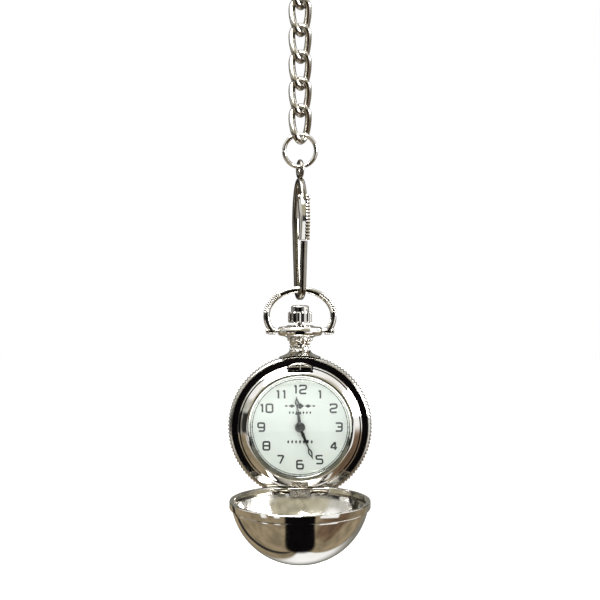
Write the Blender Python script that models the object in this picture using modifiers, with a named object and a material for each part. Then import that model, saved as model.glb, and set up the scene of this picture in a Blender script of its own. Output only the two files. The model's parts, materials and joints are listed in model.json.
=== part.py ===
"""Silver ball pocket watch hanging on a curb chain from a T-bar, with its domed front lid open.

World frame, in metres: +X right, +Y away from the viewer, +Z up. The origin is the middle of the T-bar,
where the chain is held. The watch face looks along -Y.
Inside the watch a second frame is used, like a clock face: x right, y up, and z, here called height,
towards the viewer. Height 0 is the seat ring that the lid closes on.
"""

import math

import bmesh
import bpy
from mathutils import Matrix, Vector

MM = 0.001
FIT = 0.1 * MM  # gap between pieces that touch

# T-bar
BAR_LENGTH = 24.0 * MM
BAR_RADIUS = 1.1 * MM
BAR_KNOB_RADIUS = 1.5 * MM
EYE_RADIUS = 1.7 * MM
EYE_WIRE = 1.0 * MM
EYE_DROP = 2.3 * MM  # from the bar's middle down to the eye's centre

# Curb chain
LINK_COUNT = 6
LINK_WIRE = 1.5 * MM
LINK_LENGTH = 8.7 * MM
LINK_WIDTH = 4.9 * MM
LINK_TWIST = math.radians(45)  # each end of a link is turned this much out of the chain's plane
CHAIN_YAW = math.radians(20)

# Jump ring
RING_RADIUS = 3.3 * MM
RING_WIRE = 1.0 * MM
RING_YAW = math.radians(-10)
RING_CUT = math.radians(5)

# Clip. Its frame is drawn from the eye's centre, with +Y at the back.
CLIP_EYE_HOLE = 1.2 * MM
CLIP_EYE_RADIUS = 2.0 * MM
CLIP_EYE_THICKNESS = 1.0 * MM
CLIP_HALF_WIDTH = 3.5 * MM  # to the middle of the frame's bar, at its widest
CLIP_BAR = 1.3 * MM
CLIP_THICKNESS = 1.4 * MM
CLIP_YAW = math.radians(16)
CLIP_SHOULDER = 11.0 * MM  # from the eye down to where the frame is widest
CLIP_SHOULDER_RISE = 8.6 * MM
CLIP_PIVOT_DROP = 6.0 * MM
CLIP_HOOK_DROP = 24.4 * MM  # from the eye down to the centre of the hook's curve
CLIP_HOOK_RADIUS = 2.1 * MM
HOOK_TIP_DROP = 15.0 * MM
HOOK_WIRE = 1.3 * MM
TONGUE_THICKNESS = 0.7 * MM
GATE_THICKNESS = 1.9 * MM
GATE_BAR = 1.3 * MM
GATE_TEETH = 10
RIVET_RADIUS = 0.3 * MM
RIVET_HEAD_RADIUS = 0.55 * MM
RIVET_HEAD = 0.25 * MM

# Bow, the oval ring over the crown
BOW_WIRE = 1.5 * MM
BOW_HALF_WIDTH = 7.0 * MM
BOW_HALF_HEIGHT = 5.55 * MM
BOW_CENTRE_Y = 23.0 * MM  # watch frame
BOW_PIVOT_Y = 19.9 * MM
BOW_BARREL_RADIUS = 0.75 * MM
BOW_BARREL = (5.1 * MM, 6.6 * MM)
SCREW_RADIUS = 0.35 * MM
SCREW_HEAD_RADIUS = 0.65 * MM
SCREW_HEAD = 0.45 * MM
SCREW_INNER_END = 2.6 * MM

# Case, bezel and dial: radii from the watch's axis, heights along it
CASE_RADIUS = 15.0 * MM
SEAT_LIP_RADIUS = 14.15 * MM
SEAT_LIP = 0.35 * MM  # the lip's height over the seat
BEAD_REACH = 0.9 * MM  # the coined edge's bead: half its width, its height and half its own height
BEAD_HEIGHT = -1.05 * MM
BEAD_HALF_HEIGHT = 1.15 * MM
BACK_RADIUS = 14.2 * MM
BACK_START = -2.4 * MM
BACK_DEPTH = 9.6 * MM
CASE_WALL = 0.65 * MM
CASE_MOUTH_RADIUS = 11.9 * MM
BEZEL_RADIUS = 12.9 * MM
BEZEL_FRONT = 1.95 * MM
CRYSTAL_RADIUS = 10.7 * MM
CRYSTAL_BACK = 0.85 * MM
CRYSTAL_EDGE = 1.85 * MM
CRYSTAL_DOME = 0.3 * MM
DIAL_RADIUS = 11.5 * MM
DIAL_FACE = -0.3 * MM
DIAL_THICKNESS = 0.4 * MM
MOVEMENT_RADIUS = 10.6 * MM
MOVEMENT = (-4.6 * MM, -0.8 * MM)
POST_RADIUS = 0.35 * MM

# Lid
LID_RADIUS = 14.0 * MM
LID_BAND = 1.55 * MM
LID_WALL = 0.6 * MM
LID_SPHERE_RADIUS = 13.75 * MM
LID_SPHERE_HEIGHT = -0.9 * MM
LID_INNER_RADIUS = 13.1 * MM
LID_GROOVE_RADIUS = 13.5 * MM
LID_OPEN = math.radians(94.6)

# Hinge: its axis runs along x in the watch frame
HINGE_Y = -12.85 * MM
HINGE_HEIGHT = 0.75 * MM
HINGE_HALF = 7.0 * MM
KNUCKLE_RADIUS = 0.5 * MM
KNUCKLE_BORE = 0.28 * MM
LID_KNUCKLE_HALF = 2.4 * MM
KNUCKLE_GAP = 0.2 * MM
PIN_RADIUS = 0.2 * MM
LEAF = (-0.30 * MM, 0.35 * MM)  # the case leaf's lower and upper face, from the hinge's axis
NOTCH_CLEARANCE = 0.2 * MM  # beyond each end of the hinge
CASE_NOTCH_FLOOR = -0.8 * MM
CASE_NOTCH_RISE = 0.45 * MM  # the notch's top edge, above the hinge's axis
LID_NOTCH_RISE = 0.75 * MM
LID_NOTCH_DEPTH = 1.4 * MM
LID_LEAF = (0.35 * MM, 0.63 * MM)  # the lid leaf's two faces, from the hinge's axis with the lid closed

# Catch in the bezel's top
CATCH_HALF = 2.4 * MM
CATCH_NOSE_Y = 13.3 * MM
CATCH_HEIGHTS = (0.55 * MM, 1.5 * MM)
CATCH_NOSE = (0.75 * MM, 1.2 * MM)  # heights of its nose
CATCH_TRAVEL = 0.35 * MM
SLOT_FLOOR = 0.45 * MM
SLOT_INNER_Y = 11.35 * MM

# Pendant, crown and its cap
PENDANT_HEIGHT = -1.35 * MM  # height of the pendant's axis in the watch frame
NECK_RADIUS = 2.1 * MM
BULB_RADIUS = 4.7 * MM
STEM_RADIUS = 0.5 * MM
STEM_BORE = 0.65 * MM
SLEEVE_RADIUS = 0.95 * MM
SLEEVE_BORE = 0.6 * MM
SLEEVE_Y = (21.7 * MM, 22.9 * MM)
CROWN_RADIUS = 2.5 * MM
CROWN_BORE = 1.05 * MM
CROWN_Y = (21.6 * MM, 23.9 * MM)
CROWN_FLUTES = 20
FLUTE_DEPTH = 0.22 * MM
CAP_RADIUS = 1.85 * MM
CAP_TOP = 25.3 * MM
CAP_RECESS = 0.6 * MM

# Hands
HOUR_ANGLE = math.radians(-7)  # clockwise from 12
MINUTE_ANGLE = math.radians(158)
HOUR_LENGTH = 6.3 * MM
MINUTE_LENGTH = 7.1 * MM
HAND_THICKNESS = 0.2 * MM
HOUR_HEIGHT = -0.1 * MM
MINUTE_HEIGHT = 0.25 * MM
HUB_RADIUS = 0.95 * MM

TURN_STEPS = 40
SMALL_STEPS = 16

# Where each piece of the chain hangs, worked out from the bar downwards
LINK_HALF = (LINK_LENGTH - LINK_WIRE) / 2
LINK_END_RADIUS = (LINK_WIDTH - LINK_WIRE) / 2
EYE_BOTTOM_Z = -EYE_DROP - EYE_RADIUS
FIRST_LINK_Z = EYE_BOTTOM_Z + (EYE_WIRE + LINK_WIRE) / 2 + FIT - LINK_HALF
LINK_PITCH = 2 * LINK_HALF - LINK_WIRE - FIT
LAST_LINK_Z = FIRST_LINK_Z - (LINK_COUNT - 1) * LINK_PITCH
RING_Z = LAST_LINK_Z - LINK_HALF + (LINK_WIRE + RING_WIRE) / 2 + FIT - RING_RADIUS
CLIP_Z = RING_Z - RING_RADIUS - CLIP_EYE_HOLE + RING_WIRE / 2 + FIT
HOOK_BOTTOM_Z = CLIP_Z - CLIP_HOOK_DROP - CLIP_HOOK_RADIUS
BOW_TOP_Z = HOOK_BOTTOM_Z + (HOOK_WIRE + BOW_WIRE) / 2 + FIT
WATCH_Z = BOW_TOP_Z - BOW_CENTRE_Y - BOW_HALF_HEIGHT
WATCH_Y = PENDANT_HEIGHT  # brings the pendant's axis under the bar

FACE_FRONT = Matrix.Rotation(math.pi / 2, 4, "X")  # watch frame: x right, y up, z to the viewer
SIDEWAYS = Matrix(((0, 0, 1, 0), (1, 0, 0, 0), (0, 1, 0, 0), (0, 0, 0, 1)))  # local x, y, z to Y, Z, X


# ---------------------------------------------------------------- scene and materials


def clear_scene():
    for obj in list(bpy.data.objects):
        bpy.data.objects.remove(obj, do_unlink=True)


def new_collection(name):
    collection = bpy.data.collections.new(name)
    bpy.context.scene.collection.children.link(collection)
    return collection


def make_material(name, colour, metallic, roughness, alpha=1.0):
    material = bpy.data.materials.new(name)
    material.use_nodes = True
    shader = material.node_tree.nodes["Principled BSDF"]
    shader.inputs["Base Color"].default_value = (*colour, 1.0)
    shader.inputs["Metallic"].default_value = metallic
    shader.inputs["Roughness"].default_value = roughness
    shader.inputs["Alpha"].default_value = alpha
    return material


def link(obj, collection, parent=None, matrix=None):
    """Puts an object in one collection only, under a parent, at a place in the parent's frame."""
    for owner in list(obj.users_collection):
        owner.objects.unlink(obj)
    collection.objects.link(obj)
    obj.parent = parent
    obj.matrix_basis = matrix or Matrix.Identity(4)
    return obj


def make_part(obj, material, parent=None, matrix=None, smooth_angle=30):
    """Makes an object one of the model's sub-parts."""
    link(obj, PARTS, parent, matrix)
    obj.data.materials.clear()
    obj.data.materials.append(material)
    if obj.type == "MESH":
        obj.data.shade_smooth()
        obj.data.set_sharp_from_angle(angle=math.radians(smooth_angle))
    return obj


def make_cutter(obj, parent=None, matrix=None):
    link(obj, CUTTERS, parent, matrix)
    obj.hide_render = True
    obj.display_type = "WIRE"
    return obj


def make_frame(name, parent, matrix):
    return link(bpy.data.objects.new(name, None), PARTS, parent, matrix)


def at(x, y, z):
    return Matrix.Translation((x, y, z))


# ---------------------------------------------------------------- shapes


def name_object(obj, name):
    obj.name = name
    obj.data.name = name
    return obj


def box(name, low, high):
    """A box from its lowest to its highest corner."""
    low, high = Vector(low), Vector(high)
    bpy.ops.mesh.primitive_cube_add(size=1, location=(0, 0, 0))
    obj = name_object(bpy.context.object, name)
    obj.data.transform(Matrix.Translation((low + high) / 2) @ Matrix.Diagonal((*(high - low), 1)))
    return obj


def rod(name, radius, start, end, axis="X", sides=SMALL_STEPS):
    """A solid cylinder from start to end along one axis."""
    turn = {"X": Matrix.Rotation(math.pi / 2, 4, "Y"), "Y": Matrix.Rotation(-math.pi / 2, 4, "X")}
    bpy.ops.mesh.primitive_cylinder_add(radius=radius, depth=end - start, vertices=sides)
    obj = name_object(bpy.context.object, name)
    obj.data.transform(Matrix.Translation((0, 0, (start + end) / 2)))
    obj.data.transform(turn.get(axis, Matrix.Identity(4)))
    return obj


def turned(name, profile, steps=TURN_STEPS):
    """A solid of revolution about z. The profile is a list of (radius, height), and its two ends are on the
    axis or it is closed into a ring."""
    mesh = bpy.data.meshes.new(name)
    on_axis = profile[0][0] == 0 and profile[-1][0] == 0
    edges = [(i, i + 1) for i in range(len(profile) - 1)]
    if not on_axis:
        edges.append((len(profile) - 1, 0))
    mesh.from_pydata([(radius, 0, height) for radius, height in profile], edges, [])
    obj = bpy.data.objects.new(name, mesh)
    CUTTERS.objects.link(obj)
    screw = obj.modifiers.new("Turn", "SCREW")
    screw.axis = "Z"
    screw.steps = screw.render_steps = steps
    screw.use_merge_vertices = True
    screw.merge_threshold = 0.000001
    screw.use_normal_calculate = False
    return obj


def wire(name, points, diameter, cyclic=False, resolution=2):
    """A round wire through points, as a curve."""
    curve = bpy.data.curves.new(name, "CURVE")
    curve.dimensions = "3D"
    curve.bevel_depth = diameter / 2
    curve.bevel_resolution = resolution
    curve.use_fill_caps = not cyclic
    spline = curve.splines.new("POLY")
    spline.points.add(len(points) - 1)
    for point, place in zip(spline.points, points):
        point.co = (*place, 1)
    spline.use_cyclic_u = cyclic
    obj = bpy.data.objects.new(name, curve)
    CUTTERS.objects.link(obj)
    return obj


def plate(name, outline, thickness, middle=0.0):
    """A flat plate of a closed outline in x and y, centred on a height."""
    curve = bpy.data.curves.new(name, "CURVE")
    curve.dimensions = "2D"
    curve.fill_mode = "BOTH"
    curve.extrude = thickness / 2
    spline = curve.splines.new("POLY")
    spline.points.add(len(outline) - 1)
    for point, (x, y) in zip(spline.points, outline):
        point.co = (x, y, 0, 1)
    spline.use_cyclic_u = True
    obj = bpy.data.objects.new(name, curve)
    CUTTERS.objects.link(obj)
    obj = as_mesh(obj)
    obj.data.transform(Matrix.Translation((0, 0, middle)))
    return obj


def as_mesh(obj):
    """The same shape as a closed mesh object, with any modifiers applied."""
    bpy.context.view_layer.update()
    name = obj.name
    evaluated = obj.evaluated_get(bpy.context.evaluated_depsgraph_get())
    mesh = bpy.data.meshes.new_from_object(evaluated)
    solid = bpy.data.objects.new(name + ".mesh", mesh)
    solid.matrix_world = obj.matrix_world
    CUTTERS.objects.link(solid)
    bpy.data.objects.remove(obj, do_unlink=True)
    shape = bmesh.new()
    shape.from_mesh(mesh)
    bmesh.ops.remove_doubles(shape, verts=shape.verts, dist=0.000001)
    shape.to_mesh(mesh)
    shape.free()
    return name_object(solid, name)


def combine(obj, other, operation, matrix=None):
    """A Boolean with another object, which becomes a hidden helper in the first one's frame."""
    make_cutter(other, obj, matrix)
    step = obj.modifiers.new(other.name, "BOOLEAN")
    step.operation = operation
    step.solver = "EXACT"
    step.object = other
    return obj


def arc(centre, radius_x, radius_y, start, end, steps):
    """Points along an elliptic arc in x and y, angles in radians from +x."""
    angles = [start + (end - start) * i / steps for i in range(steps + 1)]
    return [(centre[0] + radius_x * math.cos(a), centre[1] + radius_y * math.sin(a)) for a in angles]


def stroke(path, width):
    """The outline of a bar of one width that follows a path of (x, y) points."""
    left, right = [], []
    for i, (x, y) in enumerate(path):
        before, after = path[max(i - 1, 0)], path[min(i + 1, len(path) - 1)]
        direction = Vector((after[0] - before[0], after[1] - before[1])).normalized()
        shift = Vector((-direction.y, direction.x)) * width / 2
        left.append((x + shift.x, y + shift.y))
        right.append((x - shift.x, y - shift.y))
    return left + right[::-1]


# ---------------------------------------------------------------- chain


def build_bar(silver):
    """A bar with knobs at its ends and an eye below its middle, in one piece."""
    half = BAR_LENGTH / 2
    collar = 1.5 * MM
    profile = [(0, half)]
    profile += [
        (BAR_KNOB_RADIUS * math.sin(a), half + BAR_KNOB_RADIUS * (math.cos(a) - 1))
        for a in (math.radians(d) for d in (30, 60, 90, 120))
    ]
    profile += [(BAR_RADIUS * 0.8, half - 3.2 * MM), (BAR_RADIUS, collar + 1 * MM), (BAR_RADIUS, collar)]
    profile += [(BAR_KNOB_RADIUS, collar - 0.3 * MM)]
    profile += [(radius, -height) for radius, height in reversed(profile)]
    bar = as_mesh(turned("t_bar", profile, SMALL_STEPS))
    bar.data.transform(Matrix.Rotation(math.pi / 2, 4, "Y"))
    bpy.ops.mesh.primitive_torus_add(
        major_radius=EYE_RADIUS, minor_radius=EYE_WIRE / 2, major_segments=24, minor_segments=8
    )
    eye = name_object(bpy.context.object, "bar_eye")
    make_part(bar, silver)
    combine(bar, eye, "UNION", at(0, 0, -EYE_DROP) @ Matrix.Rotation(math.pi / 2, 4, "Y"))
    return bar


def link_centreline(straight_steps=3, bend_steps=7):
    """The closed line of one twisted link about its own centre: two half circles joined by straight sides,
    turned about the chain's line by an angle that grows towards each end."""
    straight = LINK_HALF - LINK_END_RADIUS
    flat = arc((0, straight), LINK_END_RADIUS, LINK_END_RADIUS, 0, math.pi, bend_steps)
    flat += [(-LINK_END_RADIUS, straight * (1 - 2 * i / straight_steps)) for i in range(1, straight_steps)]
    flat += arc((0, -straight), LINK_END_RADIUS, LINK_END_RADIUS, math.pi, 2 * math.pi, bend_steps)
    flat += [(LINK_END_RADIUS, straight * (2 * i / straight_steps - 1)) for i in range(1, straight_steps)]
    points = []
    for across, along in flat:
        turn = CHAIN_YAW - LINK_TWIST * along / LINK_HALF
        points.append((across * math.cos(turn), across * math.sin(turn), along))
    return points


def build_chain(silver):
    points = link_centreline()
    for number in range(1, LINK_COUNT + 1):
        part = wire(f"link_{number}", points, LINK_WIRE, cyclic=True)
        make_part(part, silver, matrix=at(0, 0, FIRST_LINK_Z - (number - 1) * LINK_PITCH))


def build_ring(silver):
    """A wire ring whose two cut ends meet at its left side."""
    around = arc((0, 0), RING_RADIUS, RING_RADIUS, RING_CUT / 2 - math.pi, math.pi - RING_CUT / 2, 28)
    ring = wire("ring", [(x, 0, z) for x, z in around], RING_WIRE)
    make_part(ring, silver, matrix=at(0, 0, RING_Z) @ Matrix.Rotation(RING_YAW, 4, "Z"))


# ---------------------------------------------------------------- clip


def frame_half_width(drop):
    """Half the width of the clip's frame, to the middle of its bar, at a distance below the eye."""
    if drop < CLIP_SHOULDER:
        share = (CLIP_SHOULDER - drop) / CLIP_SHOULDER_RISE
        return CLIP_HALF_WIDTH * math.sqrt(max(0.0, 1 - share * share))
    share = (drop - CLIP_SHOULDER) / (CLIP_HOOK_DROP - CLIP_SHOULDER)
    return CLIP_HALF_WIDTH + (CLIP_HOOK_RADIUS - CLIP_HALF_WIDTH) * share


def arm_path(side, start, end, steps):
    """Points down one arm of the frame, side -1 for the front one and 1 for the spine."""
    drops = [start + (end - start) * i / steps for i in range(steps + 1)]
    return [(side * frame_half_width(drop), -drop) for drop in drops]


def top_path():
    """From the end of the front arm's stub, over the top and down the spine to the shoulder."""
    crest = CLIP_SHOULDER - CLIP_SHOULDER_RISE
    stub = arm_path(-1, CLIP_PIVOT_DROP + 0.5 * MM, crest + 0.6 * MM, 4)
    return stub + [(0, -crest)] + arm_path(1, crest + 0.6 * MM, CLIP_SHOULDER, 6)


def hook_path():
    """From the shoulder down the spine, round under the bow and up to the hook's tip."""
    path = arm_path(1, CLIP_SHOULDER - 1 * MM, CLIP_HOOK_DROP - 0.5 * MM, 2)
    path += arc((0, -CLIP_HOOK_DROP), CLIP_HOOK_RADIUS, CLIP_HOOK_RADIUS, 0, -math.pi, 12)
    path += arm_path(-1, CLIP_HOOK_DROP - 0.5 * MM, HOOK_TIP_DROP, 1)
    return path


def gate_outline():
    """The gate's outline about its pivot, with teeth along its outer edge."""
    pivot_x = -frame_half_width(CLIP_PIVOT_DROP)
    tip = HOOK_TIP_DROP - 0.2 * MM
    inner, outer = [], []
    rows = 2 * GATE_TEETH
    for i in range(rows + 1):
        drop = CLIP_PIVOT_DROP + (tip - CLIP_PIVOT_DROP) * i / rows
        middle = -frame_half_width(drop) - pivot_x
        height = CLIP_PIVOT_DROP - drop
        tooth = 0.25 * MM if i % 2 else 0.0
        outer.append((middle - GATE_BAR / 2 - tooth, height))
        if i % 4 == 0:
            inner.append((middle + GATE_BAR / 2, height))
    head = arc((0, 0), GATE_BAR / 2, GATE_BAR / 2, 0, math.pi, 6)[1:-1]
    return outer + inner[::-1] + head


def build_clip(silver):
    """The clip's plates are drawn in x (the back) and y (up)."""
    frame = make_frame("clip_frame", None, at(0, 0, CLIP_Z) @ Matrix.Rotation(CLIP_YAW, 4, "Z") @ SIDEWAYS)
    body = plate("clip_body", stroke(top_path(), CLIP_BAR), CLIP_THICKNESS)
    make_part(body, silver, frame)
    hook = as_mesh(wire("clip_hook", [(x, y, 0) for x, y in hook_path()], HOOK_WIRE))
    combine(body, hook, "UNION")
    ring = arc((0, 0), CLIP_EYE_RADIUS, CLIP_EYE_RADIUS, 0, 1.9 * math.pi, 19)
    combine(body, plate("clip_eye", ring, CLIP_EYE_THICKNESS), "UNION")
    combine(body, rod("clip_eye_hole", CLIP_EYE_HOLE, -2 * MM, 2 * MM, "Z", 16), "DIFFERENCE")
    pivot = at(-frame_half_width(CLIP_PIVOT_DROP), -CLIP_PIVOT_DROP, 0)
    for side, name in ((-1, "back"), (1, "front")):
        heights = sorted((side * TONGUE_THICKNESS / 2, side * 2 * MM))
        relief = box(f"tongue_{name}", (-1.4 * MM, -2 * MM, heights[0]), (0.9 * MM, 0.85 * MM, heights[1]))
        combine(body, relief, "DIFFERENCE", pivot)
    combine(body, rod("rivet_hole", RIVET_RADIUS + FIT, -3 * MM, 3 * MM, "Z", 12), "DIFFERENCE", pivot)

    gate_frame = make_frame("gate_frame", frame, pivot)
    gate = plate("clip_gate", gate_outline(), GATE_THICKNESS)
    make_part(gate, silver, gate_frame)
    slot = TONGUE_THICKNESS / 2 + FIT
    combine(gate, box("gate_slot", (-2 * MM, -1.4 * MM, -slot), (2 * MM, 2 * MM, slot)), "DIFFERENCE")
    combine(gate, rod("gate_hole", RIVET_RADIUS + FIT, -3 * MM, 3 * MM, "Z", 12), "DIFFERENCE")

    half = GATE_THICKNESS / 2 + FIT
    top = half + RIVET_HEAD
    profile = [(0, top), (RIVET_HEAD_RADIUS * 0.7, top), (RIVET_HEAD_RADIUS, half), (RIVET_RADIUS, half)]
    profile += [(radius, -height) for radius, height in reversed(profile)]
    rivet = turned("clip_rivet", profile, 12)
    make_part(rivet, silver, gate_frame)


# ---------------------------------------------------------------- case


def build_case_back(silver, watch):
    """A domed cup with a bead round its edge and a flat seat inside a low lip."""
    inner = BACK_RADIUS - CASE_WALL
    start = BACK_START - 0.3 * MM
    profile = [(0, start - BACK_DEPTH + CASE_WALL)]
    profile += [(r, start + h) for r, h in arc((0, 0), inner, CASE_WALL - BACK_DEPTH, math.pi / 2, 0, 6)[1:]]
    profile += [(CASE_MOUTH_RADIUS, -1.6 * MM), (CASE_MOUTH_RADIUS, 0)]
    profile += [(SEAT_LIP_RADIUS, 0), (SEAT_LIP_RADIUS, SEAT_LIP)]
    profile += [(SEAT_LIP_RADIUS + 0.3 * MM, SEAT_LIP)]
    bead_centre = (CASE_RADIUS - BEAD_REACH, BEAD_HEIGHT)
    profile += arc(bead_centre, BEAD_REACH, BEAD_HALF_HEIGHT, math.radians(70), math.radians(-75), 5)
    profile += [(r, BACK_START + h) for r, h in arc((0, 0), BACK_RADIUS, -BACK_DEPTH, 0, math.pi / 2, 8)[:-1]]
    profile += [(0, BACK_START - BACK_DEPTH)]
    case = turned("case_back", profile[::-1])
    make_part(case, silver, watch)
    side = HINGE_HALF + NOTCH_CLEARANCE
    low = (-side, -CASE_RADIUS - 1 * MM, CASE_NOTCH_FLOOR)
    notch = box("hinge_notch", low, (side, HINGE_Y + CASE_NOTCH_RISE, 2 * MM))
    combine(case, notch, "DIFFERENCE")
    stem_hole = rod("stem_hole", STEM_BORE, 10 * MM, CASE_RADIUS + 1 * MM, "Y", 12)
    combine(case, stem_hole, "DIFFERENCE", at(0, 0, PENDANT_HEIGHT))


def build_bezel(silver, watch):
    """The bevelled ring that holds the crystal. Its bottom is cut flat beside the hinge and its top is
    slotted for the catch."""
    seat = CRYSTAL_BACK - FIT
    profile = [
        (BEZEL_RADIUS, FIT),
        (BEZEL_RADIUS, 0.75 * MM),
        (BEZEL_RADIUS - 0.2 * MM, 1.0 * MM),
        (BEZEL_RADIUS - 0.55 * MM, 1.05 * MM),
        (BEZEL_RADIUS - 0.7 * MM, 1.2 * MM),
        (CRYSTAL_RADIUS + 0.5 * MM, BEZEL_FRONT - 0.05 * MM),
        (CRYSTAL_RADIUS + 0.3 * MM, BEZEL_FRONT),
        (CRYSTAL_RADIUS + FIT, BEZEL_FRONT - 0.1 * MM),
        (CRYSTAL_RADIUS + FIT, seat),
        (CRYSTAL_RADIUS - 0.35 * MM, seat),
        (CRYSTAL_RADIUS - 0.6 * MM, DIAL_FACE + FIT),
        (CASE_MOUTH_RADIUS - FIT, DIAL_FACE + FIT),
        (CASE_MOUTH_RADIUS - FIT, FIT),
    ]
    bezel = turned("bezel", profile)
    make_part(bezel, silver, watch)
    flat_y = HINGE_Y + KNUCKLE_RADIUS + 0.25 * MM
    flat = box("bezel_flat", (-HINGE_HALF, -CASE_RADIUS, FIT / 2), (HINGE_HALF, flat_y, 3 * MM))
    combine(bezel, flat, "DIFFERENCE")
    side = CATCH_HALF + 0.3 * MM
    slot = box("catch_slot", (-side, SLOT_INNER_Y, SLOT_FLOOR), (side, CASE_RADIUS, 3 * MM))
    combine(bezel, slot, "DIFFERENCE")


def build_crystal(glass, watch):
    profile = [(0, CRYSTAL_EDGE + CRYSTAL_DOME)]
    for share in (0.35, 0.7, 0.97):
        profile.append((CRYSTAL_RADIUS * share, CRYSTAL_EDGE + CRYSTAL_DOME * (1 - share * share)))
    profile += [(CRYSTAL_RADIUS, CRYSTAL_EDGE - 0.1 * MM), (CRYSTAL_RADIUS, CRYSTAL_BACK)]
    profile += [(0, CRYSTAL_BACK)]
    make_part(turned("crystal", profile), glass, watch)


def build_dial(white, watch):
    hole = HUB_RADIUS - 0.05 * MM
    back = DIAL_FACE - DIAL_THICKNESS
    profile = [(DIAL_RADIUS, back), (DIAL_RADIUS, DIAL_FACE), (hole, DIAL_FACE), (hole, back)]
    make_part(turned("dial", profile[::-1]), white, watch)


def build_movement(plastic, watch):
    """The drum of the movement, with the post that the hands turn on."""
    low, high = MOVEMENT
    post_top = MINUTE_HEIGHT - FIT
    profile = [(0, post_top), (POST_RADIUS, post_top), (POST_RADIUS, high), (MOVEMENT_RADIUS, high)]
    profile += [(MOVEMENT_RADIUS, low + 1.2 * MM), (MOVEMENT_RADIUS - 1.5 * MM, low), (0, low)]
    make_part(turned("movement", profile, 32), plastic, watch)


def hand_outline(length):
    """A slim hand pointing up: a tapered stub with a small cross bar, a thin rod and a leaf at the tip.
    The outline is given for its right side and mirrored."""
    stub = 0.45 * length
    right = [
        (0.30, HUB_RADIUS / MM * 0.6),
        (0.20, 0.40 * length / MM),
        (0.42, stub / MM),
        (0.16, stub / MM + 0.12),
        (0.13, 0.66 * length / MM),
        (0.36, 0.78 * length / MM),
        (0.06, length / MM),
    ]
    right = [(x * MM, y * MM) for x, y in right]
    return right + [(-x, y) for x, y in right[::-1]]


def build_hand(name, length, angle, height, bore, black, watch):
    """A hand in the frame of its own arbor. The hub is a ring round the post, or a cap over it."""
    arbor = make_frame(name + "_arbor", watch, at(0, 0, height) @ Matrix.Rotation(-angle, 4, "Z"))
    hand = plate(name, hand_outline(length), HAND_THICKNESS, HAND_THICKNESS / 2)
    make_part(hand, black, arbor)
    hub_top = HAND_THICKNESS if bore else HAND_THICKNESS + 0.1 * MM
    combine(hand, rod(name + "_hub", HUB_RADIUS, 0, hub_top, "Z", 20), "UNION")
    if bore:
        combine(hand, rod(name + "_bore", bore, -1 * MM, 1 * MM, "Z", 16), "DIFFERENCE")


# ---------------------------------------------------------------- hinge, lid and catch


def build_hinge(silver, watch):
    """Two knuckles on the case, on a leaf let into the notch, and the pin through all three."""
    axis = at(0, HINGE_Y, HINGE_HEIGHT)
    leaf_low, leaf_high = LEAF
    floor = CASE_NOTCH_FLOOR + FIT - HINGE_HEIGHT
    base = box("hinge_case", (-HINGE_HALF, leaf_low, floor), (HINGE_HALF, leaf_high, -0.8 * MM))
    make_part(base, silver, watch, axis)
    start = LID_KNUCKLE_HALF + KNUCKLE_GAP
    for side, name in ((-1, "left"), (1, "right")):
        ends = sorted((side * start, side * HINGE_HALF))
        riser = box(f"riser_{name}", (ends[0], leaf_low, -0.9 * MM), (ends[1], leaf_high, -0.2 * MM))
        combine(base, riser, "UNION")
        combine(base, rod(f"knuckle_{name}", KNUCKLE_RADIUS, ends[0], ends[1], "X", 16), "UNION")
    combine(base, rod("hinge_bore", KNUCKLE_BORE, -9 * MM, 9 * MM, "X", 12), "DIFFERENCE")
    pin_half = HINGE_HALF + 0.1 * MM
    make_part(rod("hinge_pin", PIN_RADIUS, -pin_half, pin_half, "X", 10), silver, watch, axis)


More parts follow.
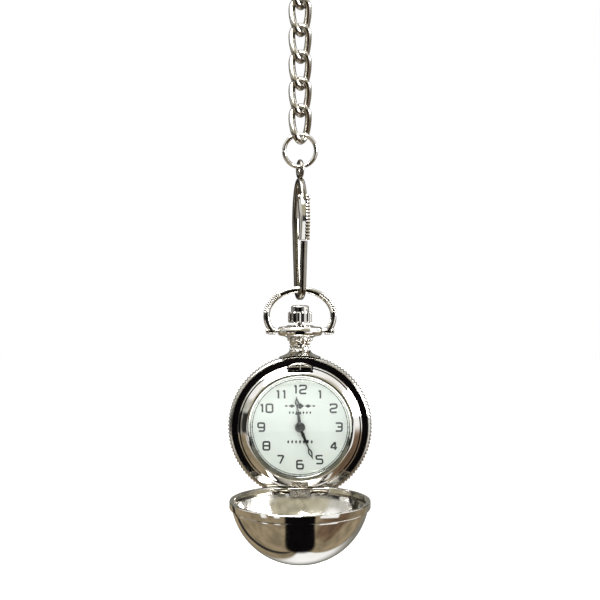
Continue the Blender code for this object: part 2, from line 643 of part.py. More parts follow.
def build_lid(silver, watch):
    """The hollow domed lid, drawn closed in the watch frame and turned open about the hinge."""
    hinge = make_frame("lid_axis", watch, at(0, HINGE_Y, HINGE_HEIGHT) @ Matrix.Rotation(LID_OPEN, 4, "X"))
    closed = at(0, -HINGE_Y, -HINGE_HEIGHT)
    inner_radius = LID_SPHERE_RADIUS - LID_WALL
    centre = (0, LID_SPHERE_HEIGHT)
    inner_start = math.asin((LID_BAND + 0.1 * MM - LID_SPHERE_HEIGHT) / inner_radius)
    outer_start = math.asin((LID_BAND + 0.35 * MM - LID_SPHERE_HEIGHT) / LID_SPHERE_RADIUS)
    outer = arc(centre, LID_SPHERE_RADIUS, LID_SPHERE_RADIUS, math.pi / 2, outer_start, 8)
    profile = [(0, outer[0][1])] + outer[1:]
    profile += [(LID_SPHERE_RADIUS - 0.15 * MM, LID_BAND + 0.2 * MM), (LID_RADIUS - 0.1 * MM, LID_BAND)]
    profile += [(LID_RADIUS, LID_BAND - 0.15 * MM), (LID_RADIUS, FIT)]
    profile += [(LID_INNER_RADIUS, FIT), (LID_INNER_RADIUS, 0.5 * MM)]
    profile += [(LID_GROOVE_RADIUS, 0.65 * MM), (LID_GROOVE_RADIUS, 1.3 * MM)]
    inner = arc(centre, inner_radius, inner_radius, inner_start, math.pi / 2, 8)
    profile += inner[:-1] + [(0, inner[-1][1])]
    lid = turned("lid_shell", profile)
    make_part(lid, silver, hinge, closed)
    reach = HINGE_HALF + NOTCH_CLEARANCE
    high = (reach, HINGE_Y + LID_NOTCH_RISE, LID_NOTCH_DEPTH)
    gap = box("lid_notch", (-reach, -CASE_RADIUS, -1 * MM), high)
    combine(lid, gap, "DIFFERENCE")

    knuckle = rod("hinge_lid", KNUCKLE_RADIUS, -LID_KNUCKLE_HALF, LID_KNUCKLE_HALF, "X", 16)
    make_part(knuckle, silver, hinge)
    web_half = LID_KNUCKLE_HALF - 0.3 * MM
    inner, outer = LID_LEAF
    web = box("lid_leaf", (-web_half, inner, 0.05 * MM), (web_half, outer, LID_NOTCH_DEPTH - 0.05 * MM))
    combine(knuckle, web, "UNION")
    low = (-web_half, inner - 0.25 * MM, 0.05 * MM)
    bridge = box("lid_leaf_root", low, (web_half, outer - 0.03 * MM, 0.45 * MM))
    combine(knuckle, bridge, "UNION")
    combine(knuckle, rod("lid_knuckle_bore", KNUCKLE_BORE, -9 * MM, 9 * MM, "X", 12), "DIFFERENCE")


def build_catch(silver, watch):
    """The sprung catch in the bezel's slot, with a nose that holds the lid's groove."""
    low, high = CATCH_HEIGHTS
    foot = SLOT_INNER_Y + CATCH_TRAVEL + FIT
    catch = box("catch", (-CATCH_HALF, foot, low), (CATCH_HALF, BEZEL_RADIUS, high))
    make_part(catch, silver, watch)
    half = CATCH_HALF * 0.8
    low, high = CATCH_NOSE
    nose = box("catch_nose", (-half, foot + 0.2 * MM, low), (half, CATCH_NOSE_Y, high))
    combine(catch, nose, "UNION")


# ---------------------------------------------------------------- pendant, crown and bow


def build_pendant(silver, pendant):
    """The neck and the bulb at its top, bored for the stem and for the bow's screws."""
    low, high = 14.4 * MM, 21.1 * MM
    outer = [
        (3.6 * MM, low),
        (2.7 * MM, low + 0.7 * MM),
        (NECK_RADIUS, low + 1.7 * MM),
        (NECK_RADIUS, low + 2.9 * MM),
        (2.9 * MM, BOW_PIVOT_Y - 1.5 * MM),
        (4.0 * MM, BOW_PIVOT_Y - 0.9 * MM),
        (BULB_RADIUS, BOW_PIVOT_Y - 0.25 * MM),
        (BULB_RADIUS, BOW_PIVOT_Y + 0.15 * MM),
        (4.0 * MM, BOW_PIVOT_Y + 0.8 * MM),
        (2.8 * MM, high),
    ]
    profile = outer[::-1] + [(STEM_BORE, low), (STEM_BORE, high)]
    body = turned("pendant", profile, 32)
    make_part(body, silver, pendant)
    foot = rod("case_round", CASE_RADIUS + FIT, -9 * MM, 9 * MM, "Y", 96)
    combine(body, foot, "DIFFERENCE")
    screw_hole = rod("screw_hole", SCREW_RADIUS + FIT, -9 * MM, 9 * MM, "X", 12)
    combine(body, screw_hole, "DIFFERENCE", at(0, 0, BOW_PIVOT_Y))


def build_screws(silver, pendant):
    """The two screws that the bow swings on."""
    for side, name in ((-1, "screw_left"), (1, "screw_right")):
        inner = BOW_BARREL[1] + FIT
        end = inner + SCREW_HEAD
        profile = [(0, end), (SCREW_HEAD_RADIUS * 0.8, end), (SCREW_HEAD_RADIUS, end - 0.15 * MM)]
        profile += [(SCREW_HEAD_RADIUS, inner), (SCREW_RADIUS, inner), (SCREW_RADIUS, SCREW_INNER_END)]
        profile += [(0, SCREW_INNER_END)]
        turn = at(0, 0, BOW_PIVOT_Y) @ Matrix.Rotation(side * math.pi / 2, 4, "Y")
        make_part(turned(name, profile, 12), silver, pendant, turn)


def build_bow(silver, pendant):
    """The oval wire, with a barrel at each end that a screw passes through."""
    axis = make_frame("bow_axis", pendant, at(0, 0, BOW_PIVOT_Y))
    rise = BOW_CENTRE_Y - BOW_PIVOT_Y
    dip = math.asin(rise / BOW_HALF_HEIGHT)
    path = arc((0, rise), BOW_HALF_WIDTH, BOW_HALF_HEIGHT, -dip, math.pi + dip, 26)
    bow = as_mesh(wire("bow", [(x, 0, z) for x, z in path], BOW_WIRE))
    make_part(bow, silver, axis)
    inner, outer = BOW_BARREL
    for side, name in ((-1, "left"), (1, "right")):
        ends = sorted((side * inner, side * outer))
        combine(bow, rod(f"barrel_{name}", BOW_BARREL_RADIUS, ends[0], ends[1], "X", 16), "UNION")
        bore = rod(f"barrel_bore_{name}", SCREW_RADIUS + FIT, ends[0] - 2 * MM, ends[1] + 2 * MM, "X", 12)
        combine(bow, bore, "DIFFERENCE")
        far = sorted((side * outer, side * (outer + 2 * MM)))
        recess = rod(f"screw_recess_{name}", SCREW_HEAD_RADIUS + FIT, far[0], far[1], "X", 12)
        combine(bow, recess, "DIFFERENCE")


def build_crown(silver, pendant):
    """The stem, the sleeve on its end, and the fluted crown that turns on the sleeve, with its cap."""
    low, high = CROWN_Y
    stem_low, stem_high = MOVEMENT_RADIUS + 0.5 * MM, SLEEVE_Y[1] - 0.2 * MM
    make_part(rod("stem", STEM_RADIUS, stem_low, stem_high, "Z", 12), silver, pendant)
    sleeve_low, sleeve_high = SLEEVE_Y
    profile = [(SLEEVE_BORE, sleeve_low), (SLEEVE_BORE, sleeve_high)]
    profile += [(SLEEVE_RADIUS, sleeve_high), (SLEEVE_RADIUS, sleeve_low)]
    make_part(turned("crown_sleeve", profile, 12), silver, pendant)

    outline = []
    for i in range(2 * CROWN_FLUTES):
        radius = CROWN_RADIUS - FLUTE_DEPTH * (i % 2)
        angle = math.pi * i / CROWN_FLUTES
        outline.append((radius * math.cos(angle), radius * math.sin(angle)))
    crown = plate("crown", outline, high - low, (high + low) / 2)
    make_part(crown, silver, pendant)
    combine(crown, rod("crown_bore", CROWN_BORE, low - 1 * MM, high + 1 * MM, "Z", 16), "DIFFERENCE")
    recess = rod("crown_recess", CAP_RADIUS + FIT, high - CAP_RECESS, high + 1 * MM, "Z", 24)
    combine(crown, recess, "DIFFERENCE")

    seat = high - CAP_RECESS + FIT
    profile = [(0, CAP_TOP), (CAP_RADIUS - 0.35 * MM, CAP_TOP), (CAP_RADIUS, CAP_TOP - 0.25 * MM)]
    profile += [(CAP_RADIUS, seat), (0, seat)]
    make_part(turned("crown_cap", profile, 24), silver, pendant)


# ---------------------------------------------------------------- the whole watch

clear_scene()
PARTS = new_collection("pocket_watch")
CUTTERS = new_collection("cutters")
SILVER = make_material("polished_nickel", (0.78, 0.77, 0.75), 1.0, 0.12)
GLASS = make_material("crystal_glass", (0.95, 0.97, 0.97), 0.0, 0.02, alpha=0.3)
WHITE = make_material("dial_enamel", (0.86, 0.89, 0.87), 0.0, 0.5)
BLACK = make_material("hand_lacquer", (0.02, 0.02, 0.02), 0.0, 0.35)
BRASS = make_material("movement_brass", (0.62, 0.48, 0.22), 1.0, 0.4)

WATCH = make_frame("watch", None, at(0, WATCH_Y, WATCH_Z) @ FACE_FRONT)
PENDANT = make_frame("pendant_axis", None, at(0, 0, WATCH_Z))

build_bar(SILVER)
build_chain(SILVER)
build_ring(SILVER)
build_clip(SILVER)
build_bow(SILVER, PENDANT)
build_pendant(SILVER, PENDANT)
build_screws(SILVER, PENDANT)
build_crown(SILVER, PENDANT)
build_case_back(SILVER, WATCH)
build_bezel(SILVER, WATCH)
build_crystal(GLASS, WATCH)
build_dial(WHITE, WATCH)
build_movement(BRASS, WATCH)
build_hand("hour_hand", HOUR_LENGTH, HOUR_ANGLE, HOUR_HEIGHT, POST_RADIUS + FIT, BLACK, WATCH)
build_hand("minute_hand", MINUTE_LENGTH, MINUTE_ANGLE, MINUTE_HEIGHT, None, BLACK, WATCH)
build_hinge(SILVER, WATCH)
build_lid(SILVER, WATCH)
build_catch(SILVER, WATCH)
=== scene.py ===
"""The finished surfaces of a silver ball pocket watch on its curb chain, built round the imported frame."""
import json
import math

import bpy
from bpy.props import FloatProperty, FloatVectorProperty, IntProperty, PointerProperty
from mathutils import Matrix, Vector


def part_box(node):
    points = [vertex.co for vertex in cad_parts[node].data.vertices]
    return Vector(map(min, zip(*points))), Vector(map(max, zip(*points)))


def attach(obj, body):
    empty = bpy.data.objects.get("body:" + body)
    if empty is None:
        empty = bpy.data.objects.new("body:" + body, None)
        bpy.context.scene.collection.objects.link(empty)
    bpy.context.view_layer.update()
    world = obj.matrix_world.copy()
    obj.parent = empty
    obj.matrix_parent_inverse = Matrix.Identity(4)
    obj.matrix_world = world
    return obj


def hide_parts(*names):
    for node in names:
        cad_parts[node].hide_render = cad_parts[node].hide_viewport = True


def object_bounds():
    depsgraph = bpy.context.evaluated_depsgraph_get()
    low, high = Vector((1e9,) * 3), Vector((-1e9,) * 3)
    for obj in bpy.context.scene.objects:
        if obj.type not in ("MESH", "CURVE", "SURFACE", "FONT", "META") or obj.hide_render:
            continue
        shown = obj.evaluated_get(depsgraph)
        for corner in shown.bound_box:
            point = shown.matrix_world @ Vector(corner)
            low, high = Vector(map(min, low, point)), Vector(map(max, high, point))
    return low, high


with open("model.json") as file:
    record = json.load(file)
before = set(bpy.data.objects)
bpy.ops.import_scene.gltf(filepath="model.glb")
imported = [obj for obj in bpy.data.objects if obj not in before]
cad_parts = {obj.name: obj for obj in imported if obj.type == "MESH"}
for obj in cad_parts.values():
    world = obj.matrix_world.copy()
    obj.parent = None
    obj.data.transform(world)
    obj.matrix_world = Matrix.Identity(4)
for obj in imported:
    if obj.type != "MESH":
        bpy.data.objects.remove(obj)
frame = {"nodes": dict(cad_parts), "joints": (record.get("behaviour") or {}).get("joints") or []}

bl_info = {
    "name": "Ball Pocket Watch",
    "version": (1, 0, 0),
    "blender": (4, 5, 0),
    "location": "3D View > Sidebar > Pocket Watch",
    "description": "Builds the plated case, dial, chain and studio of a ball pocket watch",
    "category": "Add Mesh",
}

MM = 0.001
CAD_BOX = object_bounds()
JOINTS = {joint["name"]: joint for joint in frame["joints"]}
LINKS = sorted(name for name in frame["nodes"] if name.startswith("link_"))


def middle(node):
    low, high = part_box(node)
    return (low + high) / 2


def size(node):
    low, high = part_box(node)
    return high - low


def joint_place(name):
    return Vector(JOINTS[name]["pos_m"])


def joint_turn(name):
    """The angle of a joint's level axis, from +X towards +Y."""
    axis = JOINTS[name]["axis"]
    return math.atan2(axis[1], axis[0])


# The watch has its own frame. The dial's axis runs along -Y through AXIS, and heights are measured along it
# from the seat ring, which the lid closes on. The clip's frame starts at the middle of its eye, which hangs
# on the ring's wire.
HINGE = joint_place("lid_hinge")
PIVOT = joint_place("watch_swing")
HINGE_HEIGHT = 0.75 * MM
HINGE_BELOW_AXIS = 12.85 * MM
SEAT_Y = HINGE.y + HINGE_HEIGHT
AXIS = Vector((0, SEAT_Y, HINGE.z + HINGE_BELOW_AXIS))
UNDER_CASE = AXIS.z - 16 * MM
DIAL_FACE = -0.3
DOME_CENTRE = -0.9
LID_OPEN = -math.radians(JOINTS["lid_hinge"]["range_deg"][0])
EYE_DROP = 0.6 * MM
EYE = Vector((0, 0, joint_place("clip_swing").z - EYE_DROP))
EYE_TURN = joint_turn("gate_swing")


# ---------------------------------------------------------------- colours and materials


def linear(code):
    """An sRGB colour such as #C9C6C0 as linear red, green and blue."""
    shares = [int(code[i : i + 2], 16) / 255 for i in (1, 3, 5)]
    return tuple(s / 12.92 if s <= 0.04045 else ((s + 0.055) / 1.055) ** 2.4 for s in shares)


def add_node(tree, kind, settings=None, **links):
    """Adds a node. settings fills its properties and its inputs, and links joins its inputs to outputs. An
    input goes by its name or by its number, such as in_1."""
    node = tree.nodes.new(kind)
    for name, value in (settings or {}).items():
        if name.startswith("in_"):
            node.inputs[int(name[3:])].default_value = value
        elif name in node.inputs and not hasattr(node, name):
            node.inputs[name].default_value = value
        else:
            setattr(node, name, value)
    for name, output in links.items():
        place = int(name[3:]) if name.startswith("in_") else name.replace("_", " ")
        tree.links.new(output, node.inputs[place])
    return node


# Settings that several patterns share. A noise's scale is 1 over the size of its blotches in millimetres,
# and nearly all of its values lie in the middle of its range.
SOFT = {"Detail": 3.0, "Roughness": 0.55}
MIDDLE = {"From Min": 0.3, "From Max": 0.7}


def new_material(name, colour, metallic, roughness):
    """A material with a Principled shader and the object's own coordinates, in millimetres."""
    material = bpy.data.materials.new(name)
    material.use_nodes = True
    tree = material.node_tree
    shader = tree.nodes["Principled BSDF"]
    shader.inputs["Base Color"].default_value = (*colour, 1)
    shader.inputs["Metallic"].default_value = metallic
    shader.inputs["Roughness"].default_value = roughness
    place = add_node(tree, "ShaderNodeTexCoord").outputs["Object"]
    scaled = add_node(tree, "ShaderNodeMapping", {"Scale": (1 / MM,) * 3}, Vector=place).outputs["Vector"]
    return material, tree, shader, scaled


def plated_metal(name, colour, stain, gloss, grain, relief):
    """Nickel plate over a stamped zinc or brass body. Plating is bright with a slightly warm tint. Handling
    leaves faint smears, seen as patches of rougher gloss, and the stamping leaves a shallow waviness. The
    grain is the size of its waves in millimetres. Each plate is made once and shared by its pieces."""
    if name in bpy.data.materials:
        return bpy.data.materials[name]
    material, tree, shader, place = new_material(name, colour, 1.0, gloss)
    smears = add_node(tree, "ShaderNodeTexNoise", {**SOFT, "Scale": 1 / (3.5 * grain)}, Vector=place)
    settings = {**MIDDLE, "To Min": gloss * 0.7, "To Max": gloss * 1.6}
    dulled = add_node(tree, "ShaderNodeMapRange", settings, Value=smears.outputs["Fac"])
    tree.links.new(dulled.outputs["Result"], shader.inputs["Roughness"])
    settings = {**SOFT, "Scale": 1 / (1.6 * grain), "Detail": 5.0}
    blotches = add_node(tree, "ShaderNodeTexNoise", settings, Vector=place)
    share = add_node(tree, "ShaderNodeMapRange", {**MIDDLE, "To Max": 0.45}, Value=blotches.outputs["Fac"])
    settings = {"data_type": "RGBA", "in_6": (*colour, 1), "in_7": (*stain, 1)}
    tint = add_node(tree, "ShaderNodeMix", settings, in_0=share.outputs["Result"])
    tree.links.new(tint.outputs[2], shader.inputs["Base Color"])
    waves = add_node(tree, "ShaderNodeTexNoise", {**SOFT, "Scale": 1 / grain}, Vector=place)
    bump = add_node(tree, "ShaderNodeBump", {"Distance": relief}, Height=waves.outputs["Fac"])
    tree.links.new(bump.outputs["Normal"], shader.inputs["Normal"])
    return material


def polished_plate(colours):
    """Case, lid, bezel, crown, gate and ring: buffed to a mirror before plating."""
    return plated_metal(
        "polished_nickel_plate", colours.nickel, colours.nickel_stain,
        gloss=0.055, grain=2.2, relief=0.004 * MM,
    )


def tumbled_plate(colours):
    """Chain, T-bar and stem: tumbled in a barrel, so the gloss is softer and a little wavy."""
    return plated_metal(
        "tumbled_nickel_plate", colours.wire, colours.worn,
        gloss=0.13, grain=0.7, relief=0.007 * MM,
    )


def worn_plate(colours):
    """Clip's frame and hinge: nickel plate darkened as painted shade, with random darker patches."""
    # The darker base colour is painted shade and painted dark reflection, not rubbed plating.
    return plated_metal(
        "shaded_worn_nickel_plate", colours.worn, colours.worn_dark,
        gloss=0.12, grain=0.6, relief=0.012 * MM,
    )


def chased_plate(colours):
    """Bow, neck and coined band: cast or rolled in relief, with dark polish left in its hollows."""
    return plated_metal(
        "chased_nickel_plate", colours.nickel, colours.polish_residue,
        gloss=0.11, grain=0.42, relief=0.02 * MM,
    )


def dished_plate(colours):
    """Inside of the lid: drawn and plated but not buffed, so a fine stipple sparkles in patches."""
    material, tree, shader, place = new_material("dished_nickel_plate", colours.nickel, 1.0, 0.09)
    settings = {**SOFT, "Scale": 1 / 0.35, "Detail": 2.0}
    stipple = add_node(tree, "ShaderNodeTexNoise", settings, Vector=place).outputs["Fac"]
    cloud = add_node(tree, "ShaderNodeTexNoise", {**SOFT, "Scale": 1 / 6.0}, Vector=place).outputs["Fac"]
    patches = add_node(tree, "ShaderNodeMapRange", MIDDLE, Value=cloud).outputs["Result"]
    height = add_node(tree, "ShaderNodeMath", {"operation": "MULTIPLY"}, in_0=stipple, in_1=patches)
    bump = add_node(tree, "ShaderNodeBump", {"Distance": 0.02 * MM}, Height=height.outputs[0])
    tree.links.new(bump.outputs["Normal"], shader.inputs["Normal"])
    dulled = add_node(tree, "ShaderNodeMapRange", {**MIDDLE, "To Min": 0.05, "To Max": 0.16}, Value=patches)
    tree.links.new(dulled.outputs["Result"], shader.inputs["Roughness"])
    return material


def dial_lacquer(colours):
    """Matt white lacquer sprayed on a brass disc: even, with the faintest orange peel."""
    material, tree, shader, place = new_material("dial_lacquer", colours.dial, 0.0, 0.42)
    cloud = add_node(tree, "ShaderNodeTexNoise", {**SOFT, "Scale": 1 / 5.0}, Vector=place).outputs["Fac"]
    share = add_node(tree, "ShaderNodeMapRange", MIDDLE, Value=cloud).outputs["Result"]
    shade = tuple(channel * 0.96 for channel in colours.dial)
    settings = {"data_type": "RGBA", "in_6": (*colours.dial, 1), "in_7": (*shade, 1)}
    tint = add_node(tree, "ShaderNodeMix", settings, in_0=share)
    tree.links.new(tint.outputs[2], shader.inputs["Base Color"])
    peel = add_node(tree, "ShaderNodeTexNoise", {**SOFT, "Scale": 1 / 0.25}, Vector=place).outputs["Fac"]
    bump = add_node(tree, "ShaderNodeBump", {"Distance": 0.003 * MM}, Height=peel)
    tree.links.new(bump.outputs["Normal"], shader.inputs["Normal"])
    return material


def printing_ink(colours):
    """Pad-printed ink of the numerals: nearly black, matt, a little thin in places."""
    material, tree, shader, place = new_material("printing_ink", colours.ink, 0.0, 0.55)
    specks = add_node(tree, "ShaderNodeTexNoise", {**SOFT, "Scale": 1 / 0.3}, Vector=place).outputs["Fac"]
    share = add_node(tree, "ShaderNodeMapRange", MIDDLE, Value=specks).outputs["Result"]
    thin = tuple(channel * 1.9 for channel in colours.ink)
    settings = {"data_type": "RGBA", "in_6": (*colours.ink, 1), "in_7": (*thin, 1)}
    tint = add_node(tree, "ShaderNodeMix", settings, in_0=share)
    tree.links.new(tint.outputs[2], shader.inputs["Base Color"])
    return material


def hand_lacquer(colours):
    """Black lacquer on stamped hands: glossy, with a little dust in it."""
    material, tree, shader, place = new_material("hand_lacquer", colours.hands, 0.0, 0.28)
    settings = {**SOFT, "Scale": 1 / 0.15, "Detail": 1.0}
    dust = add_node(tree, "ShaderNodeTexNoise", settings, Vector=place).outputs["Fac"]
    dulled = add_node(tree, "ShaderNodeMapRange", {**MIDDLE, "To Min": 0.2, "To Max": 0.42}, Value=dust)
    tree.links.new(dulled.outputs["Result"], shader.inputs["Roughness"])
    bump = add_node(tree, "ShaderNodeBump", {"Distance": 0.002 * MM}, Height=dust)
    tree.links.new(bump.outputs["Normal"], shader.inputs["Normal"])
    return material


def mineral_glass():
    """The crystal: clear pressed glass, so it shows as a thin glare and a dark rim."""
    material, tree, shader, place = new_material("mineral_glass", linear("#F7FBFA"), 0.0, 0.02)
    shader.inputs["Transmission Weight"].default_value = 1.0
    shader.inputs["IOR"].default_value = 1.5
    film = add_node(tree, "ShaderNodeTexNoise", {**SOFT, "Scale": 1 / 4.0}, Vector=place).outputs["Fac"]
    dulled = add_node(tree, "ShaderNodeMapRange", {**MIDDLE, "To Min": 0.01, "To Max": 0.035}, Value=film)
    tree.links.new(dulled.outputs["Result"], shader.inputs["Roughness"])
    return material


def machined_brass(colours):
    """Plates of the movement: turned brass with fine rings left by the tool."""
    material, tree, shader, place = new_material("machined_brass", colours.brass, 1.0, 0.32)
    settings = {"wave_type": "RINGS", "rings_direction": "Y", "Scale": 4.0, "Distortion": 0.6}
    rings = add_node(tree, "ShaderNodeTexWave", settings, Vector=place).outputs["Fac"]
    bump = add_node(tree, "ShaderNodeBump", {"Distance": 0.004 * MM}, Height=rings)
    tree.links.new(bump.outputs["Normal"], shader.inputs["Normal"])
    tarnish = add_node(tree, "ShaderNodeTexNoise", {**SOFT, "Scale": 1.0}, Vector=place).outputs["Fac"]
    dulled = add_node(tree, "ShaderNodeMapRange", {**MIDDLE, "To Min": 0.25, "To Max": 0.42}, Value=tarnish)
    tree.links.new(dulled.outputs["Result"], shader.inputs["Roughness"])
    return material


def backdrop_paper():
    """White card: matt, with the slight tooth of paper."""
    material, tree, shader, place = new_material("backdrop_paper", linear("#FAFAF8"), 0.0, 0.9)
    shader.inputs["Emission Color"].default_value = (1, 1, 1, 1)
    shader.inputs["Emission Strength"].default_value = 0.35
    tooth = add_node(tree, "ShaderNodeTexNoise", {**SOFT, "Scale": 1 / 1.5}, Vector=place).outputs["Fac"]
    bump = add_node(tree, "ShaderNodeBump", {"Distance": 0.05 * MM}, Height=tooth)
    tree.links.new(bump.outputs["Normal"], shader.inputs["Normal"])
    return material


# ---------------------------------------------------------------- modelling steps


def deselect():
    if bpy.context.object and bpy.context.object.mode != "OBJECT":
        bpy.ops.object.mode_set(mode="OBJECT")
    bpy.ops.object.select_all(action="DESELECT")


def pick(*objects):
    """Selects these objects only, and makes the first one active."""
    deselect()
    for obj in objects:
        obj.select_set(True)
    bpy.context.view_layer.objects.active = objects[0]


def edit(obj, select=True):
    pick(obj)
    bpy.ops.object.mode_set(mode="EDIT")
    bpy.ops.mesh.select_all(action="SELECT" if select else "DESELECT")


def leave_edit():
    bpy.ops.object.mode_set(mode="OBJECT")


def apply_place(obj):
    pick(obj)
    bpy.ops.object.transform_apply(location=True, rotation=True, scale=True)


def named(name):
    obj = bpy.context.object
    obj.name = obj.data.name = name
    return obj


def draw_line(name, points, closed=False):
    """Draws a line of vertices: a plane shrunk to one vertex, which is extruded from point to point."""
    deselect()
    bpy.ops.mesh.primitive_plane_add(size=MM, location=points[0])
    obj = named(name)
    edit(obj)
    bpy.ops.mesh.merge(type="CENTER")
    route = list(points) + ([points[0]] if closed else [])
    for before, after in zip(route, route[1:]):
        step = Vector(after) - Vector(before)
        bpy.ops.mesh.extrude_region_move(TRANSFORM_OT_translate={"value": step})
    if closed:
        bpy.ops.mesh.select_all(action="SELECT")
        bpy.ops.mesh.remove_doubles(threshold=0.001 * MM)
    leave_edit()
    apply_place(obj)
    return obj


def clean(obj):
    """Joins doubled vertices and turns the faces outwards."""
    edit(obj)
    bpy.ops.mesh.remove_doubles(threshold=0.001 * MM)
    bpy.ops.mesh.normals_make_consistent(inside=False)
    leave_edit()
    return obj


def spin(name, points, centre, axis, steps, closed=False):
    """Spins a profile right round an axis. Ends on the axis close into poles."""
    obj = draw_line(name, points, closed)
    edit(obj)
    bpy.ops.mesh.spin(steps=steps, angle=2 * math.pi, center=centre, axis=axis, use_auto_merge=True)
    leave_edit()
    return clean(obj)


def turn_on_watch(name, profile, steps=None, closed=False):
    """Turns a profile of (radius, height) in millimetres about the dial's axis."""
    points = [AXIS + Vector((r, -h, 0)) * MM for r, h in profile]
    return spin(name, points, AXIS, (0, 1, 0), steps or sizes().turn_steps, closed)


def turn_upright(name, profile, steps, foot, closed=False):
    """Turns a profile of (radius, height) in millimetres about an upright axis through its foot."""
    points = [foot + Vector((r, 0, h)) * MM for r, h in profile]
    return spin(name, points, foot, (0, 0, 1), steps, closed)


def section_curve(width, depth, power, groove=0.0):
    """The cross-section of a wire, rounded between an oval (power 2) and a box (more), with an optional
    groove in its two broad faces."""
    steps = 28
    points = []
    for i in range(steps):
        angle = 2 * math.pi * i / steps
        across, along = math.cos(angle), math.sin(angle)
        x = width / 2 * math.copysign(abs(across) ** (2 / power), across)
        y = depth / 2 * math.copysign(abs(along) ** (2 / power), along)
        y *= 1 - groove * math.exp(-((across / 0.3) ** 2))
        points.append((x, y, 0))
    section = draw_line("section", points, closed=True)
    pick(section)
    bpy.ops.object.convert(target="CURVE")
    return bpy.context.object


def sweep(name, points, section, closed=False):
    """Draws a wire along points. The section is a diameter, or a curve that is used up."""
    obj = draw_line(name, points, closed)
    pick(obj)
    bpy.ops.object.convert(target="CURVE")
    curve = bpy.context.object.data
    curve.use_fill_caps = not closed
    if isinstance(section, float):
        curve.bevel_depth = section / 2
        curve.bevel_resolution = 5
    else:
        curve.bevel_mode = "OBJECT"
        curve.bevel_object = section
    bpy.ops.object.convert(target="MESH")
    obj = named(name)
    if not isinstance(section, float):
        bpy.data.objects.remove(section, do_unlink=True)
    return clean(obj)


def extrude_outline(name, outline, depth):
    """A flat face from a closed outline, extruded by the vector depth."""
    obj = draw_line(name, outline, closed=True)
    edit(obj)
    bpy.ops.mesh.edge_face_add()
    bpy.ops.mesh.extrude_region_move(TRANSFORM_OT_translate={"value": depth})
    leave_edit()
    return clean(obj)


def block(name, low, high):
    """A box from its lowest to its highest corner."""
    low, high = Vector(low), Vector(high)
    deselect()
    bpy.ops.mesh.primitive_cube_add(size=1, location=(low + high) / 2, scale=high - low)
    obj = named(name)
    apply_place(obj)
    return obj


def rod(name, radius, start, end, sides=48):
    """A solid cylinder between two points."""
    start, end = Vector(start), Vector(end)
    turn = (end - start).to_track_quat("Z", "Y").to_euler()
    deselect()
    bpy.ops.mesh.primitive_cylinder_add(
        radius=radius, depth=(end - start).length, vertices=sides,
        location=(start + end) / 2, rotation=turn,
    )
    obj = named(name)
    apply_place(obj)
    return obj


def ball(name, radius, at):
    """A bead with a few dozen faces."""
    deselect()
    bpy.ops.mesh.primitive_ico_sphere_add(radius=radius, location=at, subdivisions=2)
    obj = named(name)
    apply_place(obj)
    return obj


def boolean(obj, other, operation):
    """Cuts or joins with another object, which is used up."""
    pick(obj)
    step = obj.modifiers.new("Boolean", "BOOLEAN")
    step.operation = operation
    step.solver = "EXACT"
    step.object = other
    bpy.ops.object.modifier_apply(modifier=step.name)
    bpy.data.objects.remove(other, do_unlink=True)
    return obj


def round_edges(obj, width, segments=2):
    """Rounds every edge where the surface turns by more than 35 degrees."""
    pick(obj)
    step = obj.modifiers.new("Bevel", "BEVEL")
    step.width = width
    step.segments = segments
    step.limit_method = "ANGLE"
    step.angle_limit = math.radians(35)
    step.miter_outer = "MITER_ARC"
    bpy.ops.object.modifier_apply(modifier=step.name)
    return obj


def join(name, objects):
    pick(*objects)
    bpy.ops.object.join()
    return named(name)


def select_by_place(obj, test):
    """In edit mode, selects the vertices whose place passes the test."""
    edit(obj, select=False)
    leave_edit()
    for vertex in obj.data.vertices:
        vertex.select = test(vertex.co)
    bpy.ops.object.mode_set(mode="EDIT")


def turn_about(obj, centre, axis, angle):
    """Turns a piece about a line, in its mesh."""
    there, back = Matrix.Translation(centre), Matrix.Translation(-centre)
    obj.matrix_world = there @ Matrix.Rotation(angle, 4, axis) @ back
    apply_place(obj)


def finish_piece(obj, material, body, nodes=(), angle=30):
    """Shades a piece, gives it its material, and ties it to its body and its CAD nodes."""
    pick(obj)
    bpy.ops.object.shade_smooth_by_angle(angle=math.radians(angle))
    obj.data.materials.clear()
    obj.data.materials.append(material)
    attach(obj, body)
    if nodes:
        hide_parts(*nodes)


def arc(centre, radius_x, radius_y, start, end, steps):
    """Points along an elliptic arc, angles in degrees from the first axis towards the second."""
    angles = [math.radians(start + (end - start) * i / steps) for i in range(steps + 1)]
    return [(centre[0] + radius_x * math.cos(a), centre[1] + radius_y * math.sin(a)) for a in angles]


def round_corners(points, radius):
    """Replaces each inner corner of an open line by a small arc of a quadratic curve."""
    steps = 4
    route = [Vector(points[0])]
    for before, corner, after in zip(points, points[1:], points[2:]):
        before, corner, after = Vector(before), Vector(corner), Vector(after)
        reach = min(radius, (before - corner).length / 2, (after - corner).length / 2)
        enter = corner + (before - corner).normalized() * reach
        leave = corner + (after - corner).normalized() * reach
        for i in range(steps + 1):
            t = i / steps
            route.append(enter * (1 - t) ** 2 + corner * 2 * t * (1 - t) + leave * t * t)
    return route + [Vector(points[-1])]


# ---------------------------------------------------------------- chain, ring and T-bar


def link_points(length, width, wire, yaw, twist):
    """The closed centre line of a curb link: straight sides and round ends, which are twisted out of the
    chain's plane."""
    end_radius = (width - wire) / 2
    straight = (length - width) / 2
    half = straight + end_radius
    steps, squareness = 72, 6
    points = []
    for i in range(steps):
        angle = 2 * math.pi * i / steps
        across = end_radius * math.cos(angle)
        along = end_radius * math.sin(angle) + straight * math.tanh(squareness * math.sin(angle))
        turn = yaw - twist * along / half
        points.append(Vector((across * math.cos(turn), across * math.sin(turn), along)))
    return points


